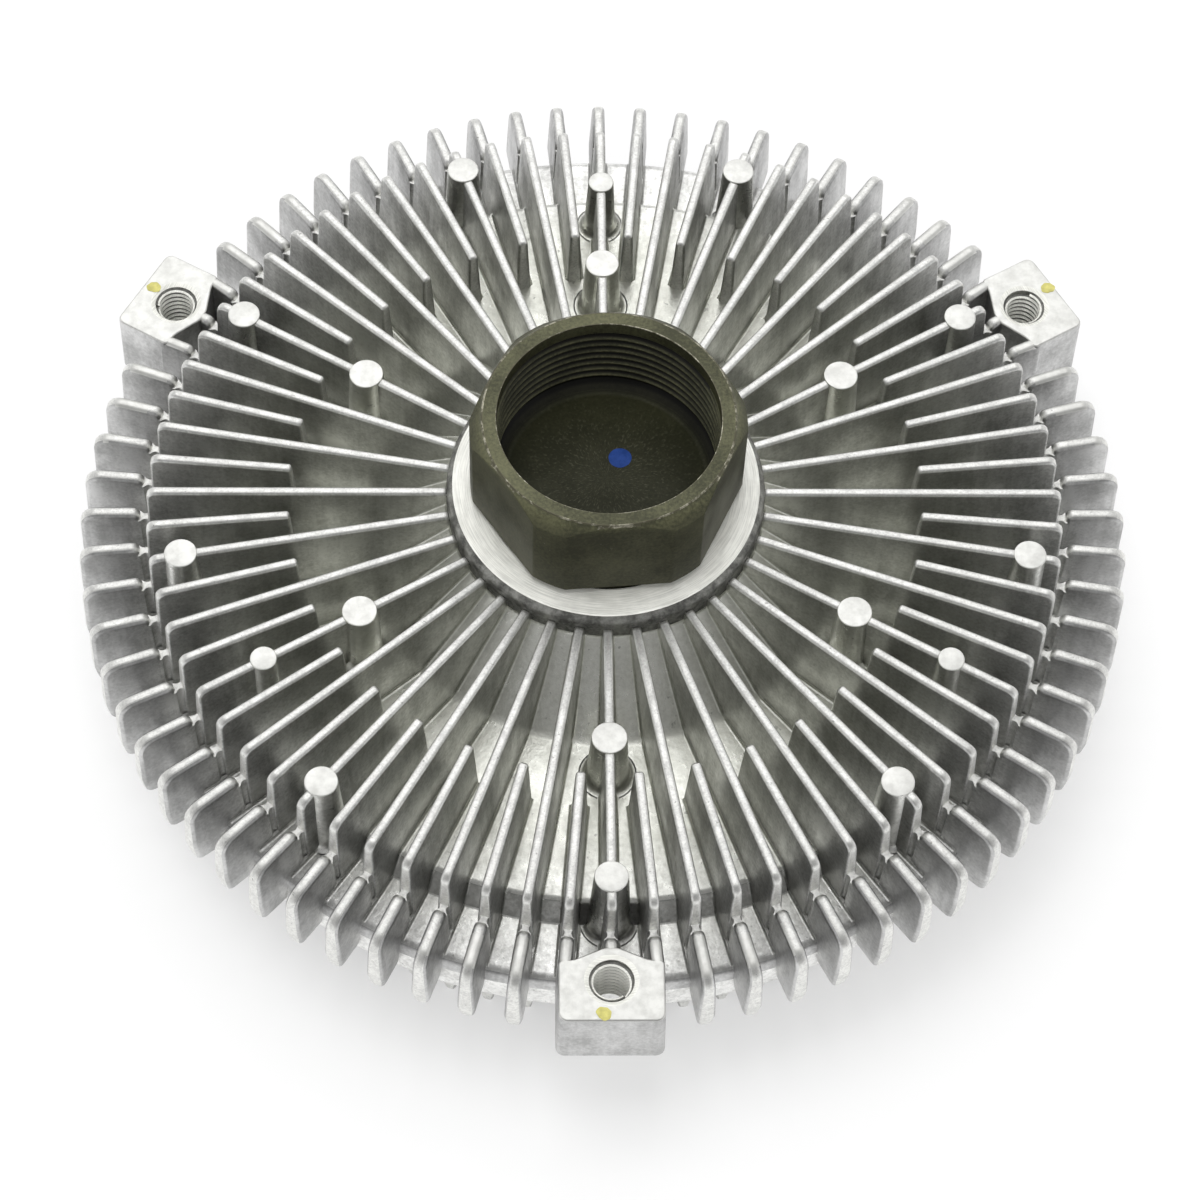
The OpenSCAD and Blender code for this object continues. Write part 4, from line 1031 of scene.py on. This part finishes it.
def white_paper():
    """Matte paper that also glows a little, so that it shows white and its shadows stay pale. Seen from
    below it is clear, so that the clutch's other side can be looked at."""
    g = Graph("white_paper")
    g.set(Base_Color=(0.92, 0.92, 0.92, 1), Roughness=0.9)
    rays = g.node("ShaderNodeLightPath").outputs
    seen = g.math("ADD", rays["Is Camera Ray"], rays["Is Glossy Ray"])
    seen = g.math("ADD", seen, rays["Is Transmission Ray"])
    share = g.math("MULTIPLY", g.math("MINIMUM", seen, 1.0), g.span(g.radius(), 0.3, 0.9, 0.42, 1.0))
    glow = g.node("ShaderNodeEmission", Color=(1, 1, 1, 1), Strength=1.0)
    blend = g.node("ShaderNodeMixShader", Fac=share)
    g.put(blend.inputs[1], g.shader.outputs[0])
    g.put(blend.inputs[2], glow.outputs[0])
    clear = g.node("ShaderNodeBsdfTransparent")
    sided = g.node("ShaderNodeMixShader", Fac=g.node("ShaderNodeNewGeometry").outputs["Backfacing"])
    g.put(sided.inputs[1], blend.outputs[0])
    g.put(sided.inputs[2], clear.outputs[0])
    g.put(g.tree.nodes["Material Output"].inputs["Surface"], sided.outputs[0])
    return g.material


floor.data.materials.append(white_paper())


def softbox(name, place, size, power):
    lamp = bpy.data.lights.new(name, "AREA")
    lamp.shape = "SQUARE"
    lamp.size = size
    lamp.energy = power
    obj = bpy.data.objects.new(name, lamp)
    obj.location = place
    obj.rotation_euler = (-Vector(place)).to_track_quat("-Z", "Y").to_euler()
    bpy.context.scene.collection.objects.link(obj)
    return obj


softbox("key", (-0.05, 0.62, 1.0), 0.95, 2.8)
for name, place, size, power in (
    ("overhead", (-0.16, -0.02, 1.1), 0.5, 5.0), ("fill", (0.05, -0.75, 0.95), 0.6, 3.9)
):
    softbox(name, place, size, power).visible_glossy = False

world = bpy.data.worlds.new("studio")
world.use_nodes = True
bpy.context.scene.world = world
sky = world.node_tree
flag_way = Vector((0.1, -0.745, 0.655))
look = sky.nodes.new("ShaderNodeTexCoord").outputs["Generated"]
height = sky.nodes.new("ShaderNodeSeparateXYZ")
sky.links.new(look, height.inputs[0])
toward_flag = sky.nodes.new("ShaderNodeVectorMath")
toward_flag.operation = "DOT_PRODUCT"
toward_flag.inputs[1].default_value = flag_way.normalized()
sky.links.new(look, toward_flag.inputs[0])
wall_tone = sky.nodes.new("ShaderNodeMapRange")
flag_tone = sky.nodes.new("ShaderNodeMapRange")
for tone, source, limits in ((wall_tone, height.outputs["Z"], (0.05, 0.35, 1.0, 0.67)),
                             (flag_tone, toward_flag.outputs["Value"], (0.5, 0.9, 1.0, 0.44))):
    sky.links.new(source, tone.inputs["Value"])
    for socket, limit in zip(("From Min", "From Max", "To Min", "To Max"), limits):
        tone.inputs[socket].default_value = limit
product = sky.nodes.new("ShaderNodeMath")
product.operation = "MULTIPLY"
sky.links.new(wall_tone.outputs["Result"], product.inputs[0])
sky.links.new(flag_tone.outputs["Result"], product.inputs[1])
sky.links.new(product.outputs[0], sky.nodes["Background"].inputs["Color"])
bpy.context.scene.view_settings.view_transform = "Standard"

# The camera was fitted to the ears' holes on a circle of 164; their real circle is 148 mm
photo_scale = 148 / 164
view_distance = 532.7 * photo_scale * MM
view_aim = Vector((-0.09, -16.46, 0)) * photo_scale * MM
view_elevation = radians(59.54)
view_roll = radians(2.698)
view_turn = radians(-3.022)
half_frame_px = 600
focal_px = 3356.1
back = Vector((0, -cos(view_elevation), sin(view_elevation)))
up = Vector((0, sin(view_elevation), cos(view_elevation)))
right = Vector((1, 0, 0))
across = right * cos(view_roll) + up * sin(view_roll)
upright = up * cos(view_roll) - right * sin(view_roll)
axes = Matrix((across, upright, back))
camera_data = bpy.data.cameras.new("camera")
camera_data.sensor_fit = "HORIZONTAL"
camera_data.lens = camera_data.sensor_width * focal_px / (2 * half_frame_px)
camera = bpy.data.objects.new("camera", camera_data)
stand = Matrix.Rotation(view_turn, 4, "Z")
camera.matrix_world = stand @ Matrix.Translation(view_aim + back * view_distance) @ axes.transposed().to_4x4()
bpy.context.scene.collection.objects.link(camera)
bpy.context.scene.camera = camera
